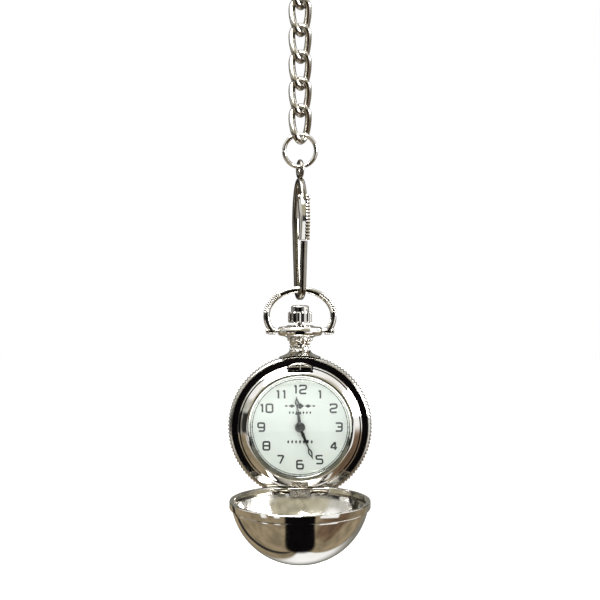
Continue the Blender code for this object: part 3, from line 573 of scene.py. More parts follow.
def build_chain(metal):
    """One curb link of bent wire, copied down the chain."""
    s = sizes()
    first = LINKS[0]
    height = size(first).z
    twist = math.radians(45)
    points = link_points(height, s.link_width, s.link_wire, joint_turn("link_2_swing") + twist, twist)
    top = max(point.z for point in points)
    stretch = (height - s.link_wire) / 2 / top
    points = [Vector((p.x, p.y, p.z * stretch)) + middle(first) for p in points]
    model = sweep("curb_" + first, points, s.link_wire, closed=True)
    pieces = [model]
    for name in LINKS[1:]:
        pick(model)
        bpy.ops.object.duplicate()
        copy = named("curb_" + name)
        copy.location = middle(name) - middle(first)
        apply_place(copy)
        pieces.append(copy)
    for name, piece in zip(LINKS, pieces):
        finish_piece(piece, metal, name, [name], angle=60)


def build_ring(metal):
    """A jump ring: round wire with a sawn joint at its left side."""
    wire = 0.88 * MM
    radius = (size("ring").z - wire) / 2
    turn = joint_turn("clip_swing")
    centre = middle("ring")
    half_gap = 1.4  # half of the sawn joint, in degrees
    points = []
    for across, up in arc((0, 0), radius, radius, half_gap - 180, 180 - half_gap, 90):
        points.append(centre + Vector((across * math.cos(turn), across * math.sin(turn), up)))
    ring = sweep("jump_ring", points, wire)
    finish_piece(ring, metal, "ring", ["ring"], angle=50)


def build_bar(metal):
    """The T-bar: a turned bar with round knobs and a collar, and the eye that the chain hangs from."""
    half = size("t_bar").x / 2 / MM
    knob = arc((half - 1.5, 0), 1.5, 1.5, 0, 135, 9)
    profile = knob + [(half - 3.0, 0.85), (half - 3.4, 1.0), (half - 3.8, 0.86), (4.0, 1.0), (2.4, 1.12)]
    profile += [(2.1, 1.35), (1.8, 1.12)] + arc((0, 0), 1.35, 1.5, 20, 90, 5)
    profile += [(-x, r) for x, r in reversed(profile[:-1])]
    points = [Vector((x, 0, r)) * MM for x, r in profile]
    bar = spin("t_bar_body", points, (0, 0, 0), (1, 0, 0), 64)
    eye_wire = 0.94 * MM
    eye_radius = 1.7 * MM
    eye_centre = Vector((0, 0, joint_place("link_1_swing").z + eye_radius))
    deselect()
    bpy.ops.mesh.primitive_torus_add(
        location=eye_centre, rotation=(0, math.pi / 2, 0),
        major_radius=eye_radius, minor_radius=eye_wire / 2, major_segments=64, minor_segments=20,
    )
    eye = named("bar_eye")
    apply_place(eye)
    boolean(bar, eye, "UNION")
    finish_piece(bar, metal, "bar", ["t_bar"])


# ---------------------------------------------------------------- clip


def clip_place(back, up, across=0.0):
    """A point of the clip, in millimetres from its eye: towards its spine, up, and across its thickness."""
    turned = Matrix.Rotation(EYE_TURN, 3, "Z")
    return EYE + turned @ (Vector((across, back, up)) * MM)


def clip_half_width(drop):
    """Half the width of the clip's frame at a distance below its eye, in millimetres: an elliptic shoulder,
    and below it straight arms that taper towards the hook."""
    shoulder, rise, half = 11.0, 8.6, 3.5
    if drop < shoulder:
        share = (shoulder - drop) / rise
        return half * math.sqrt(max(0.0, 1 - share * share))
    taper = 1.4 / 13.4
    return half - taper * (drop - shoulder)


def clip_frame_line():
    """From the front arm's stub over the top, down the spine and round the hook to its tip."""
    top, hook_drop, hook_radius = 2.4, 24.4, 2.1
    stub = (6.4, 5.8, 5.2, 4.6, 4.0, 3.4, 2.8, 2.55)
    spine = (2.55, 2.8, 3.4, 4.0, 4.8, 5.8, 7.0, 8.4, 9.8, 11.0, 14.0, 18.0, 21.0, 23.4)
    tip = (23.4, 21.0, 18.0, 15.0)
    line = [(-clip_half_width(drop), -drop) for drop in stub] + [(0.0, -top)]
    line += [(clip_half_width(drop), -drop) for drop in spine]
    line += arc((0, -hook_drop), hook_radius, hook_radius, 0, -180, 20)
    return line + [(-clip_half_width(drop), -drop) for drop in tip]


def gate_outline(tooth):
    """The gate's side, in millimetres from the clip's eye, with teeth of a given height."""
    inner, outer = [], []
    teeth = 14
    top, bend, tip = 5.4, 6.0, 14.8
    outward, inward = 0.65, 0.62
    for i in range(2 * teeth + 1):
        drop = top + (tip - top) * i / (2 * teeth)
        arm = -clip_half_width(max(drop, bend))
        outer.append((arm - outward - tooth * (i % 2), -drop))
        if i % 4 == 0:
            inner.append((arm + inward, -drop))
    return outer + inner[::-1]


def build_clip_frame(metal):
    """The clip's oval frame, bent from flat bar, with an eye at its top and a thumb tab on its spine."""
    line = [clip_place(back, up) for back, up in clip_frame_line()]
    bar = sweep("clip_frame", line, section_curve(1.3 * MM, 1.4 * MM, 3.2))
    ring = [clip_place(x, y) for x, y in arc((0, 0), 1.6, 1.6, 0, 352, 44)]
    eye = sweep("clip_eye", ring, section_curve(0.8 * MM, 1.0 * MM, 2.6), closed=True)
    tab = []
    for drop, out in ((10.2, 0.55), (10.9, 1.0), (12.4, 1.15), (13.6, 1.0), (14.3, 0.55)):
        tab.append(clip_place(clip_half_width(drop) + out, -drop))
    thumb = sweep("thumb_tab", round_corners(tab, 0.4 * MM), 0.75 * MM)
    bar = join("clip_frame", [bar, eye, thumb])
    finish_piece(bar, metal, "clip", ["clip_body"], angle=40)


def build_clip_gate(metal):
    """The sprung gate in the clip's front arm: a smooth half, pressed a little askew, a toothed half, and a
    slot at the top that takes the arm's stub."""
    halves = []
    for left_side, right_side, tooth in ((-0.95, 0.2, 0.0), (0.19, 0.95, 0.26)):
        outline = [clip_place(x, y, left_side) for x, y in gate_outline(tooth)]
        depth = clip_place(0, 0, right_side) - clip_place(0, 0, left_side)
        halves.append(extrude_outline("clip_gate_plate", outline, depth))
    askew = math.radians(19)
    turn_about(halves[0], clip_place(-3.4, -10, -0.38), "Z", askew)
    gate = boolean(halves[0], halves[1], "UNION")
    outline = [clip_place(x, y, -0.45) for x, y in ((-5, -4), (0, -4), (0, -7.4), (-5, -7.4))]
    slot = extrude_outline("slot", outline, clip_place(0, 0, 0.9) - clip_place(0, 0, 0))
    boolean(gate, slot, "DIFFERENCE")
    round_edges(gate, 0.07 * MM)
    finish_piece(gate, metal, "gate", ["clip_gate"])


def build_clip_rivet(metal):
    """The rivet that the gate turns on, with a domed head on each side."""
    pivot = joint_place("gate_swing")
    across = clip_place(0, 0, 1.0) - clip_place(0, 0, 0)
    inner, outer = across * 1.05, across * 1.3
    pieces = [rod("gate_rivet", 0.3 * MM, pivot - inner, pivot + inner, 24)]
    for side in (-1, 1):
        head = rod("rivet_head", 0.55 * MM, pivot + side * inner, pivot + side * outer, 24)
        pieces.append(round_edges(head, 0.12 * MM, 3))
    rivet = join("gate_rivet", pieces)
    finish_piece(rivet, metal, "gate", ["clip_rivet"])


# ---------------------------------------------------------------- bow, pendant and crown


def build_bow(metal):
    """The oval bow: cast with a groove along its face, beaded shoulders and two barrels for its screws."""
    wire = size("bow").y
    half_width = (size("bow").x - wire) / 2
    half_height = sizes().bow_half_height
    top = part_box("bow")[1].z - wire / 2
    centre = Vector((0, PIVOT.y, top - half_height))
    dip = math.degrees(math.asin((centre.z - PIVOT.z) / half_height))
    route = arc((0, 0), half_width, half_height, -dip, 180 + dip, 96)
    line = [centre + Vector((x, 0, z)) for x, z in route]
    bow = sweep("bow_wire", line, section_curve(wire, wire, 2.3, groove=0.34))
    pieces = [bow]
    for side in (-1, 1):
        inner, outer = (PIVOT + Vector((side * reach, 0, 0)) for reach in (5.1 * MM, 6.6 * MM))
        pieces.append(round_edges(rod("barrel", 0.75 * MM, inner, outer), 0.15 * MM, 3))
    first, spacing, proud = 8, 4.2, 0.6  # degrees to the lowest bead and between beads, and how far out
    for side in (-1, 1):
        for row, (reach, radius) in enumerate(((0.42, 0.30), (-0.1, 0.26))):
            for i in range(11):
                angle = math.radians(first + spacing * (i + row / 2))
                across, up = side * math.cos(angle), math.sin(angle)
                spot = centre + Vector((half_width * across, 0, half_height * up))
                for face in (-1, 1):
                    lift = Vector((reach * across, face * proud, reach * up)) * MM
                    pieces.append(ball("bead", radius * MM, spot + lift))
    bow = join("bow_wire", pieces)
    finish_piece(bow, metal, "bow", ["bow"], angle=40)


def build_screws(metal):
    """The two screws of the bow, with domed and slotted heads."""
    for side, node in ((-1, "screw_left"), (1, "screw_right")):
        profile = [(2.6, 0), (2.6, 0.35), (6.68, 0.35), (6.68, 0.65), (6.95, 0.62), (7.12, 0.4), (7.17, 0)]
        points = [PIVOT + Vector((side * x, 0, r)) * MM for x, r in profile]
        screw = spin(node + "_turned", points, PIVOT, (1, 0, 0), 40)
        inner, outer = sorted((side * 7.05, side * 7.4))
        low, high = PIVOT + Vector((inner, -0.09, -1)) * MM, PIVOT + Vector((outer, 0.09, 1)) * MM
        boolean(screw, block("driver_slot", low, high), "DIFFERENCE")
        finish_piece(screw, metal, "watch", [node])


def build_pendant(polished, chased):
    """The pendant: a lens-shaped bulb on a beaded neck that flares into the case."""
    top = 21.1
    foot = Vector((0, 0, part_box("pendant")[1].z - top * MM))
    bore, spread = 0.65, 72
    profile = [(bore, top), (2.6, top), (2.75, 21.0), (3.05, 20.86)]
    for degrees in range(spread, -spread - 1, -6):
        angle = math.radians(degrees)
        profile.append((3.72 + 0.98 * math.cos(angle) ** 0.55, 19.85 + 0.95 * math.sin(angle)))
    profile += [(3.2, 18.75), (2.75, 18.5), (2.35, 18.0), (2.05, 17.3), (1.95, 16.6), (2.1, 15.9)]
    profile += [(2.6, 15.3), (3.4, 14.9), (4.3, 14.55), (4.3, 13.9), (bore, 13.9)]
    body = turn_upright("pendant_body", profile, 96, foot, closed=True)
    deep = Vector((0, 9, 0)) * MM
    case_round = rod("case_round", 14.9 * MM, AXIS - deep, AXIS + deep, 192)
    boolean(body, case_round, "DIFFERENCE")
    finish_piece(body, polished, "watch", ["pendant"])

    rows = (
        # height, radius of the row, radius of a bead, beads
        (18.15, 2.3, 0.36, 16),
        (17.45, 1.95, 0.34, 14),
        (16.75, 1.85, 0.34, 14),
        (16.05, 1.95, 0.36, 14),
    )
    beads = []
    for row, (height, reach, radius, count) in enumerate(rows):
        for i in range(count):
            angle = 2 * math.pi * (i + row % 2 / 2) / count
            at = foot + Vector((reach * math.cos(angle), reach * math.sin(angle), height)) * MM
            beads.append(ball("neck_bead", radius * MM, at))
    neck = join("neck_beads", beads)
    finish_piece(neck, chased, "watch", angle=60)


def build_crown(metal):
    """The crown: a fluted drum with a plain cap let into its top."""
    low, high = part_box("crown")
    foot = Vector((0, 0, low.z))
    tall = (high.z - low.z) / MM
    outer = size("crown").x / 2 / MM
    flute_steps = 8
    steps = sizes().crown_flutes * flute_steps
    bore, seat, chamfer = 1.05, 1.95, 0.25
    profile = [(bore, 0.0), (outer - chamfer, 0.0), (outer, 0.22), (outer, 0.3), (outer, tall - 0.3)]
    profile += [(outer, tall - 0.22), (outer - chamfer, tall), (seat, tall), (seat, tall - 0.6)]
    profile += [(bore, tall - 0.6)]
    drum = turn_upright("crown_drum", profile, steps, foot, closed=True)

    # A flute is deepest in its middle, and shallower at the steps beside it.
    for beside, share in ((0, 0.9), (1, 0.92), (2, 0.965)):

        def in_flute(place):
            angle = math.atan2(place.y, place.x) % (2 * math.pi)
            step = round(angle / (2 * math.pi / steps)) % flute_steps
            outside = math.hypot(place.x, place.y) > (outer - 0.1) * MM
            return outside and step in (beside, (flute_steps - beside) % flute_steps)

        select_by_place(drum, in_flute)
        bpy.ops.transform.resize(value=(share, share, 1), center_override=foot)
        leave_edit()
    finish_piece(drum, metal, "crown", ["crown"], angle=40)

    low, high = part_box("crown_cap")
    radius = size("crown_cap").x / 2 / MM
    rise = (high.z - low.z) / MM
    profile = [(0, rise), (radius * 0.6, rise - 0.02), (radius - 0.3, rise - 0.1)]
    profile += [(radius - 0.1, rise - 0.2), (radius, rise - 0.35), (radius, rise - 0.42)]
    profile += [(radius, 0.05), (radius - 0.05, 0), (0, 0)]
    cap = turn_upright("crown_cap_turned", profile, 96, Vector((0, 0, low.z)))
    finish_piece(cap, metal, "crown", ["crown_cap"])


# ---------------------------------------------------------------- case, bezel, crystal and catch


def cut_for_hinge(obj, above, front, back):
    """Cuts away the hinge's width, from below the case up to a distance above the hinge's axis and between
    two heights, in millimetres."""
    reach = 7.2 * MM
    low = (-reach, SEAT_Y - front * MM, UNDER_CASE)
    high = (reach, SEAT_Y - back * MM, HINGE.z + above * MM)
    boolean(obj, block("hinge_cut", low, high), "DIFFERENCE")


def build_case(polished, chased):
    """The cup of the case, spun from sheet, and the coined band round its edge."""
    outside = arc((0, -2.4), 14.2, 9.6, 0, -90, 34)
    inside = arc((0, -2.7), 13.55, 8.95, 0, -90, 24)
    profile = [(0, -12.0)] + outside[-2::-1]
    profile += [(14.22, -2.3), (14.2, -2.1), (14.2, -0.12), (13.0, -0.01), (12.85, 0.0), (11.9, 0.0)]
    profile += [(11.9, -1.6)] + inside[:-1] + [(0, -11.65)]
    cup = turn_on_watch("case_cup", profile)
    cut_for_hinge(cup, 0.45, 2.0, -0.8)
    finish_piece(cup, polished, "watch", ["case_back"])

    rim = [(14.15, -0.15), (14.15, 0.28), (14.22, 0.35), (14.32, 0.32)]
    rim += arc((14.1, -1.05), 0.9, 1.2, 72, -75, 18) + [(14.2, -2.1)]
    rib_steps = 4
    steps = sizes().coin_ribs * rib_steps
    band = turn_on_watch("coined_band", rim, steps, closed=True)

    def in_groove(place):
        across, up = place.x - AXIS.x, place.z - AXIS.z
        angle = math.atan2(up, across) % (2 * math.pi)
        step = round(angle / (2 * math.pi / steps)) % rib_steps
        return step in (0, 1) and math.hypot(across, up) > 14.5 * MM

    select_by_place(band, in_groove)
    sunk = 0.986
    bpy.ops.transform.resize(value=(sunk, 1, sunk), center_override=AXIS)
    leave_edit()
    cut_for_hinge(band, 0.45, 2.0, -0.8)
    finish_piece(band, chased, "watch", angle=25)


def build_bezel(metal):
    """The bevelled bezel, cut flat above the hinge and slotted at its top for the catch."""
    profile = [(12.9, 0.05), (12.9, 0.7), (12.8, 0.9), (12.62, 1.02), (12.35, 1.05), (12.2, 1.16)]
    profile += [(11.95, 1.36), (11.6, 1.6), (11.3, 1.8), (11.15, 1.9), (11.0, 1.94), (10.85, 1.9)]
    profile += [(10.8, 1.82), (10.8, 0.75), (10.35, 0.75), (10.15, 0.3), (10.1, -0.2)]
    profile += [(11.8, -0.2), (11.8, 0.05)]
    bezel = turn_on_watch("bezel_ring", profile, closed=True)
    cuts = (
        # name, half the width and the lowest height in millimetres, and where it starts and ends upwards
        ("bezel_flat", 7.0, 0.05, UNDER_CASE, HINGE.z + 0.75 * MM),
        ("catch_slot", 2.7, 0.45, AXIS.z + 11.35 * MM, AXIS.z + 16 * MM),
        ("knuckle_notch", 1.7, 0.3, HINGE.z + 0.3 * MM, HINGE.z + 1.75 * MM),
    )
    for name, half, height, bottom, top in cuts:
        low, high = (-half * MM, SEAT_Y - 3 * MM, bottom), (half * MM, SEAT_Y - height * MM, top)
        boolean(bezel, block(name, low, high), "DIFFERENCE")
    finish_piece(bezel, metal, "watch", ["bezel"], angle=24)


def build_catch(metal):
    """The catch: a small sprung tongue with an arched nose that holds the lid, and a rib to press it by."""
    low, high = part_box("catch")
    top = low.z + 1.1 * MM
    front = SEAT_Y - 1.35 * MM
    body = block("catch_body", (low.x, front, low.z), (high.x, high.y, top - 0.25 * MM))
    round_edges(body, 0.06 * MM)
    half = size("catch").x / 2 - 0.25 * MM
    rise = 0.8 * (high.z - top + 0.35 * MM)
    steps = 12
    lip = []
    for i in range(steps + 1):
        share = 2 * i / steps - 1
        up = top - 0.32 * MM + rise * (1 - share * share) ** 0.7
        lip.append(Vector((share * half, front + 0.2 * MM, up)))
    nose = sweep("catch_nose", lip, 0.42 * MM)
    face = front - 0.02 * MM
    rib = rod("catch_rib", 0.13 * MM, (0, face, low.z + 0.15 * MM), (0, face, top))
    catch = join("catch_body", [body, nose, rib])
    finish_piece(catch, metal, "catch", ["catch"])


def build_crystal(glass):
    """The crystal: a disc with a low dome and a bevelled edge."""
    top, radius, fall = 2.15, 10.7, 0.3
    profile = [(radius * share / 10, top - fall * (share / 10) ** 2) for share in range(10)]
    profile += [(10.55, 1.84), (radius, 1.7), (radius, 0.87), (10.66, 0.85), (0, 0.85)]
    crystal = turn_on_watch("crystal_disc", profile)
    finish_piece(crystal, glass, "watch", ["crystal"])


# ---------------------------------------------------------------- dial and hands

DIGITS = {
    "0": [[(0, 0.4), (0, 1), (1, 1), (1, 0), (0, 0), (0, 0.4)]],
    "1": [[(0.1, 0.86), (0.36, 1), (0.36, 0)]],
    "2": [[(0, 0.8), (0, 1), (1, 1), (1, 0.54), (0, 0.42), (0, 0), (1, 0)]],
    "3": [[(0, 1), (1, 1), (1, 0), (0, 0)], [(0.3, 0.52), (1, 0.52)]],
    "4": [[(0.75, 0), (0.75, 1), (0, 0.28), (1.05, 0.28)]],
    "5": [[(1, 1), (0, 1), (0, 0.56), (1, 0.56), (1, 0), (0, 0)]],
    "6": [[(0.9, 1), (0, 1), (0, 0), (1, 0), (1, 0.56), (0, 0.56)]],
    "7": [[(0, 1), (1, 1), (0.4, 0)]],
    "8": [[(0, 0.4), (0, 1), (1, 1), (1, 0), (0, 0), (0, 0.4)], [(0, 0.52), (1, 0.52)]],
    "9": [[(0.1, 0), (1, 0), (1, 1), (0, 1), (0, 0.45), (1, 0.45)]],
}
NARROW_ONE = 0.42


def on_dial(x, up, height=DIAL_FACE):
    """A point in front of the dial, in millimetres right of and above its middle."""
    return AXIS + Vector((x, -height, up)) * MM


def flatten(obj, height, share):
    """Squashes a piece to a thin layer at a height over the seat."""
    edit(obj)
    bpy.ops.transform.resize(value=(1, share, 1), center_override=on_dial(0, 0, height))
    leave_edit()


def draw_numeral(text, x, up):
    """One hour numeral as strokes of a rounded pen."""
    s = sizes()
    tall, wide = s.numeral_height / MM, s.numeral_width / MM
    gap = 0.72
    widths = [wide * (NARROW_ONE if digit == "1" else 1) for digit in text]
    start = x - (sum(widths) + gap * (len(text) - 1)) / 2
    strokes = []
    for digit, width in zip(text, widths):
        for line in DIGITS[digit]:
            points = [on_dial(start + px * wide, up + (py - 0.5) * tall) for px, py in line]
            strokes.append(sweep("stroke", round_corners(points, 0.3 * MM), s.numeral_stroke))
        start += width + gap
    return strokes


def lozenge(x, up, half_width, half_height):
    """A lozenge printed on the dial, about its middle."""
    corners = [(x - half_width, up), (x, up + half_height), (x + half_width, up), (x, up - half_height)]
    outline = [on_dial(a, b, DIAL_FACE + 0.01) for a, b in corners]
    return extrude_outline("lozenge", outline, Vector((0, -0.02 * MM, 0)))


def build_dial(lacquer):
    """The dial: a lacquered disc with a hole for the post."""
    profile = [(0.9, -0.7), (11.5, -0.7), (11.5, -0.32), (11.48, DIAL_FACE), (0.9, DIAL_FACE)]
    disc = turn_on_watch("dial_disc", profile, closed=True)
    finish_piece(disc, lacquer, "watch", ["dial"])


def build_numerals(ink):
    """The hour numerals, in a ring that is a little wider than it is tall."""
    reach, squash = sizes().numeral_ring / MM, 0.97
    strokes = []
    for hour in range(1, 13):
        angle = math.radians(30 * hour)
        strokes += draw_numeral(str(hour), reach * math.sin(angle), reach * math.cos(angle) * squash)
    numerals = join("numerals", strokes)
    flatten(numerals, DIAL_FACE, 0.12)
    finish_piece(numerals, ink, "watch", angle=60)


def build_track(ink):
    """The minute ring with its ticks, and lozenges for ornament."""
    inner, outer, tick_foot, ink_top = 9.62, 9.74, 9.7, DIAL_FACE + 0.015
    profile = [(inner, DIAL_FACE), (inner, ink_top), (outer, ink_top), (outer, DIAL_FACE)]
    marks = [turn_on_watch("minute_ring", profile, closed=True)]
    for minute in range(60):
        angle = math.radians(6 * minute)
        reach, half = (9.85, 0.05) if minute % 5 else (9.95, 0.11)
        outward = Vector((math.sin(angle), math.cos(angle)))
        side = Vector((outward.y, -outward.x)) * half
        corners = [outward * tick_foot - side, outward * tick_foot + side]
        corners += [outward * reach + side, outward * reach - side]
        outline = [on_dial(corner.x, corner.y) for corner in corners]
        marks.append(extrude_outline("tick", outline, Vector((0, -0.015 * MM, 0))))
    marks.append(lozenge(0, 4.3, 0.85, 0.62))
    for side in (-1, 1):
        marks += [lozenge(side * 1.65, 4.3, 0.7, 0.36), lozenge(side * 2.8, 4.3, 0.4, 0.2)]
    for i in range(-3, 4):
        marks += [lozenge(0.8 * i, -3.0, 0.22, 0.42), lozenge(0.7 * i, 2.95, 0.2, 0.32)]
    track = join("minute_track", marks)
    finish_piece(track, ink, "watch")


def build_flange(metal):
    """The plated ring that stands between the dial and the bezel."""
    profile = [(10.1, -0.25), (10.1, 0.3), (9.98, 0.3), (9.98, -0.25)]
    flange = turn_on_watch("dial_flange", profile, closed=True)
    finish_piece(flange, metal, "watch")


def hand_outline(length):
    """The right side of a slim hand: half its width in millimetres and the share of its length, from the
    stub over a cross bar and a thin rod to a leaf and the point."""
    side = (
        (0.34, 0.22), (0.24, 0.40), (0.62, 0.43), (0.66, 0.455), (0.2, 0.47), (0.13, 0.52), (0.12, 0.66),
        (0.3, 0.71), (0.46, 0.78), (0.32, 0.86), (0.1, 0.93), (0.04, 1.0),
    )
    return [(0.26, 0.3)] + [(half, share * length) for half, share in side]


def build_hand(name, node, length, turn, height, hub, black):
    """A stamped hand with a pierced leaf, turned to its place on the post."""
    right = hand_outline(length)
    outline = right + [(-x, up) for x, up in reversed(right)]
    thick, below, through = Vector((0, -0.14, 0)) * MM, 0.5, Vector((0, -1, 0)) * MM
    hand = extrude_outline(name, [on_dial(x, up, height) for x, up in outline], thick)
    hole = [(0, 0.70), (0.2, 0.78), (0, 0.88), (-0.2, 0.78)]
    outline = [on_dial(x, share * length, height - below) for x, share in hole]
    boolean(hand, extrude_outline("leaf_hole", outline, through), "DIFFERENCE")
    boss = turn_on_watch("hub", [(r, height + h) for r, h in hub], 64, closed=hub[0][0] > 0)
    boolean(hand, boss, "UNION")
    turn_about(hand, AXIS, "Y", turn)
    finish_piece(hand, black, node, [node])


def build_hands(black):
    """The hour hand on its tube, just short of twelve, and the minute hand with a capped hub, which points
    between five and six."""
    tube = [(0.45, 0.0), (0.95, 0.0), (0.95, 0.16), (0.9, 0.2), (0.45, 0.2)]
    cap = [(0, 0.3), (0.7, 0.29), (0.92, 0.25), (1.02, 0.16), (1.05, 0.0), (0, 0.0)]
    hour_turn, minute_turn = math.radians(-7), math.radians(158)
    build_hand("hour_hand_stamped", "hour_hand", 6.3, hour_turn, -0.1, tube, black)
    build_hand("minute_hand_stamped", "minute_hand", 7.1, minute_turn, 0.25, cap, black)


# ---------------------------------------------------------------- hinge and lid


def knuckle(name, start, end):
    """One barrel of the hinge, from one side to the other in millimetres."""
    barrel = rod(name, 0.5 * MM, HINGE + Vector((start * MM, 0, 0)), HINGE + Vector((end * MM, 0, 0)))
    return round_edges(barrel, 0.06 * MM)


def build_hinge(metal):
    """The case's half of the hinge: a leaf in its notch with two barrels, and the pin."""
    low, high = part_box("hinge_case")
    bottom, top = HINGE.z - 0.3 * MM, HINGE.z + 0.35 * MM
    pieces = [block("hinge_leaf", (low.x, HINGE.y + 0.8 * MM, bottom), (high.x, high.y, top))]
    front, back = HINGE.y + 0.2 * MM, HINGE.y + 0.9 * MM
    for start, end in ((-7.0, -2.6), (2.6, 7.0)):
        pieces.append(block("riser", (start * MM, front, bottom), (end * MM, back, top)))
        pieces.append(knuckle("barrel", start, end))
    hinge = join("hinge_leaf", pieces)
    finish_piece(hinge, metal, "watch", ["hinge_case"], angle=35)
    reach = Vector((size("hinge_pin").x / 2 + 0.05 * MM, 0, 0))
    pin = rod("hinge_wire", 0.2 * MM, HINGE - reach, HINGE + reach, 24)
    round_edges(pin, 0.08 * MM, 3)
    finish_piece(pin, metal, "watch", ["hinge_pin"])


def build_lid(polished, dished):
    """The ball half that closes over the dial: a spun dome with a bead under its rim band. It is turned in
    its closed place and then swung open about the hinge."""
    outer_radius, wall = 13.75, 0.6
    inner_radius = outer_radius - wall
    edge = math.degrees(math.asin((1.95 - DOME_CENTRE) / outer_radius))
    outside = arc((0, DOME_CENTRE), outer_radius, outer_radius, 90, edge, 40)
    edge = math.degrees(math.asin((1.65 - DOME_CENTRE) / inner_radius))
    inside = arc((0, DOME_CENTRE), inner_radius, inner_radius, edge, 90, 36)
    profile = [(0, outside[0][1])] + outside[1:]
    profile += [(13.42, 1.82), (13.5, 1.72), (13.78, 1.66), (13.95, 1.56), (14.0, 1.42), (14.0, 0.2)]
    profile += [(13.93, 0.1), (13.2, 0.1), (13.1, 0.2), (13.1, 0.5), (13.5, 0.65), (13.5, 1.2)]
    profile += inside[:-1] + [(0, inside[-1][1])]
    lid = turn_on_watch("lid_dome", profile)
    cut_for_hinge(lid, 0.75, 1.4, -1.0)
    turn_about(lid, HINGE, "X", LID_OPEN)
    finish_piece(lid, polished, "lid", ["lid_shell"])
    lid.data.materials.append(dished)
    paint_inside(lid, inner_radius)


def paint_inside(lid, radius):
    """Gives the hollow of the dome its own finish."""
    closed_centre = AXIS - Vector((0, DOME_CENTRE, 0)) * MM
    centre = HINGE + Matrix.Rotation(LID_OPEN, 3, "X") @ (closed_centre - HINGE)
    for face in lid.data.polygons:
        away = face.center - centre
        if away.length < (radius + 0.05) * MM and away.dot(face.normal) < 0:
            face.material_index = 1


def build_lid_knuckle(metal):
    """The lid's half of the hinge: the middle barrel, a leaf against the dome and the root between them."""
    half = 2.1
    pieces = [knuckle("lid_knuckle", -2.4, 2.4)]
    for name, front, bottom, top in (("lid_leaf", -1.35, 0.35, 0.63), ("lid_root", -0.45, 0.1, 0.6)):
        low, high = Vector((-half, front, bottom)) * MM, Vector((half, -0.05, top)) * MM
        pieces.append(block(name, HINGE + low, HINGE + high))
    hinge = join("lid_knuckle", pieces)
    turn_about(hinge, HINGE, "X", LID_OPEN)
    finish_piece(hinge, metal, "lid", ["hinge_lid"], angle=35)


# ---------------------------------------------------------------- studio


def build_camera():
    """Square to the dial, and level with the lower part of the clip."""
    distance = 300 * MM
    field = 125 * MM
    above_dial = 26.35 * MM
    camera = bpy.data.cameras.new("camera")
    camera.sensor_width = 36
    camera.lens = camera.sensor_width * distance / field
    camera.clip_start = 0.01
    place = bpy.data.objects.new("camera", camera)
    bpy.context.scene.collection.objects.link(place)
    place.location = (0, -distance, AXIS.z + above_dial)
    place.rotation_euler = (math.pi / 2, 0, 0)
    bpy.context.scene.camera = place


PRODUCT = {"operation": "MULTIPLY"}


def band(tree, value, low, high, soft):
    """1 where a value lies between two angles in degrees, with soft edges."""
    masks = []
    for edge, direction in ((low, 1), (high, -1)):
        settings = {
            "interpolation_type": "SMOOTHSTEP",
            "From Min": math.radians(edge - direction * soft),
            "From Max": math.radians(edge + direction * soft),
        }
        masks.append(add_node(tree, "ShaderNodeMapRange", settings, Value=value).outputs["Result"])
    return add_node(tree, "ShaderNodeMath", PRODUCT, in_0=masks[0], in_1=masks[1]).outputs[0]


def rounded_card(tree, across, along, centre, half_size):
    """1 on a card with round corners, from a direction's two angles and the card's centre and half its size
    in degrees."""
    powers = []
    for angle, place, half in zip((across, along), centre, half_size):
        settings = {"operation": "MULTIPLY_ADD", "in_1": 1 / math.radians(half), "in_2": -place / half}
        offset = add_node(tree, "ShaderNodeMath", settings, in_0=angle).outputs[0]
        offset = add_node(tree, "ShaderNodeMath", {"operation": "ABSOLUTE"}, in_0=offset).outputs[0]
        power = add_node(tree, "ShaderNodeMath", {"operation": "POWER", "in_1": 4.0}, in_0=offset)
        powers.append(power.outputs[0])
    total = add_node(tree, "ShaderNodeMath", {"operation": "ADD"}, in_0=powers[0], in_1=powers[1])
    settings = {"interpolation_type": "SMOOTHSTEP", "From Min": 1.35, "From Max": 0.7}
    return add_node(tree, "ShaderNodeMapRange", settings, Value=total.outputs[0]).outputs["Result"]


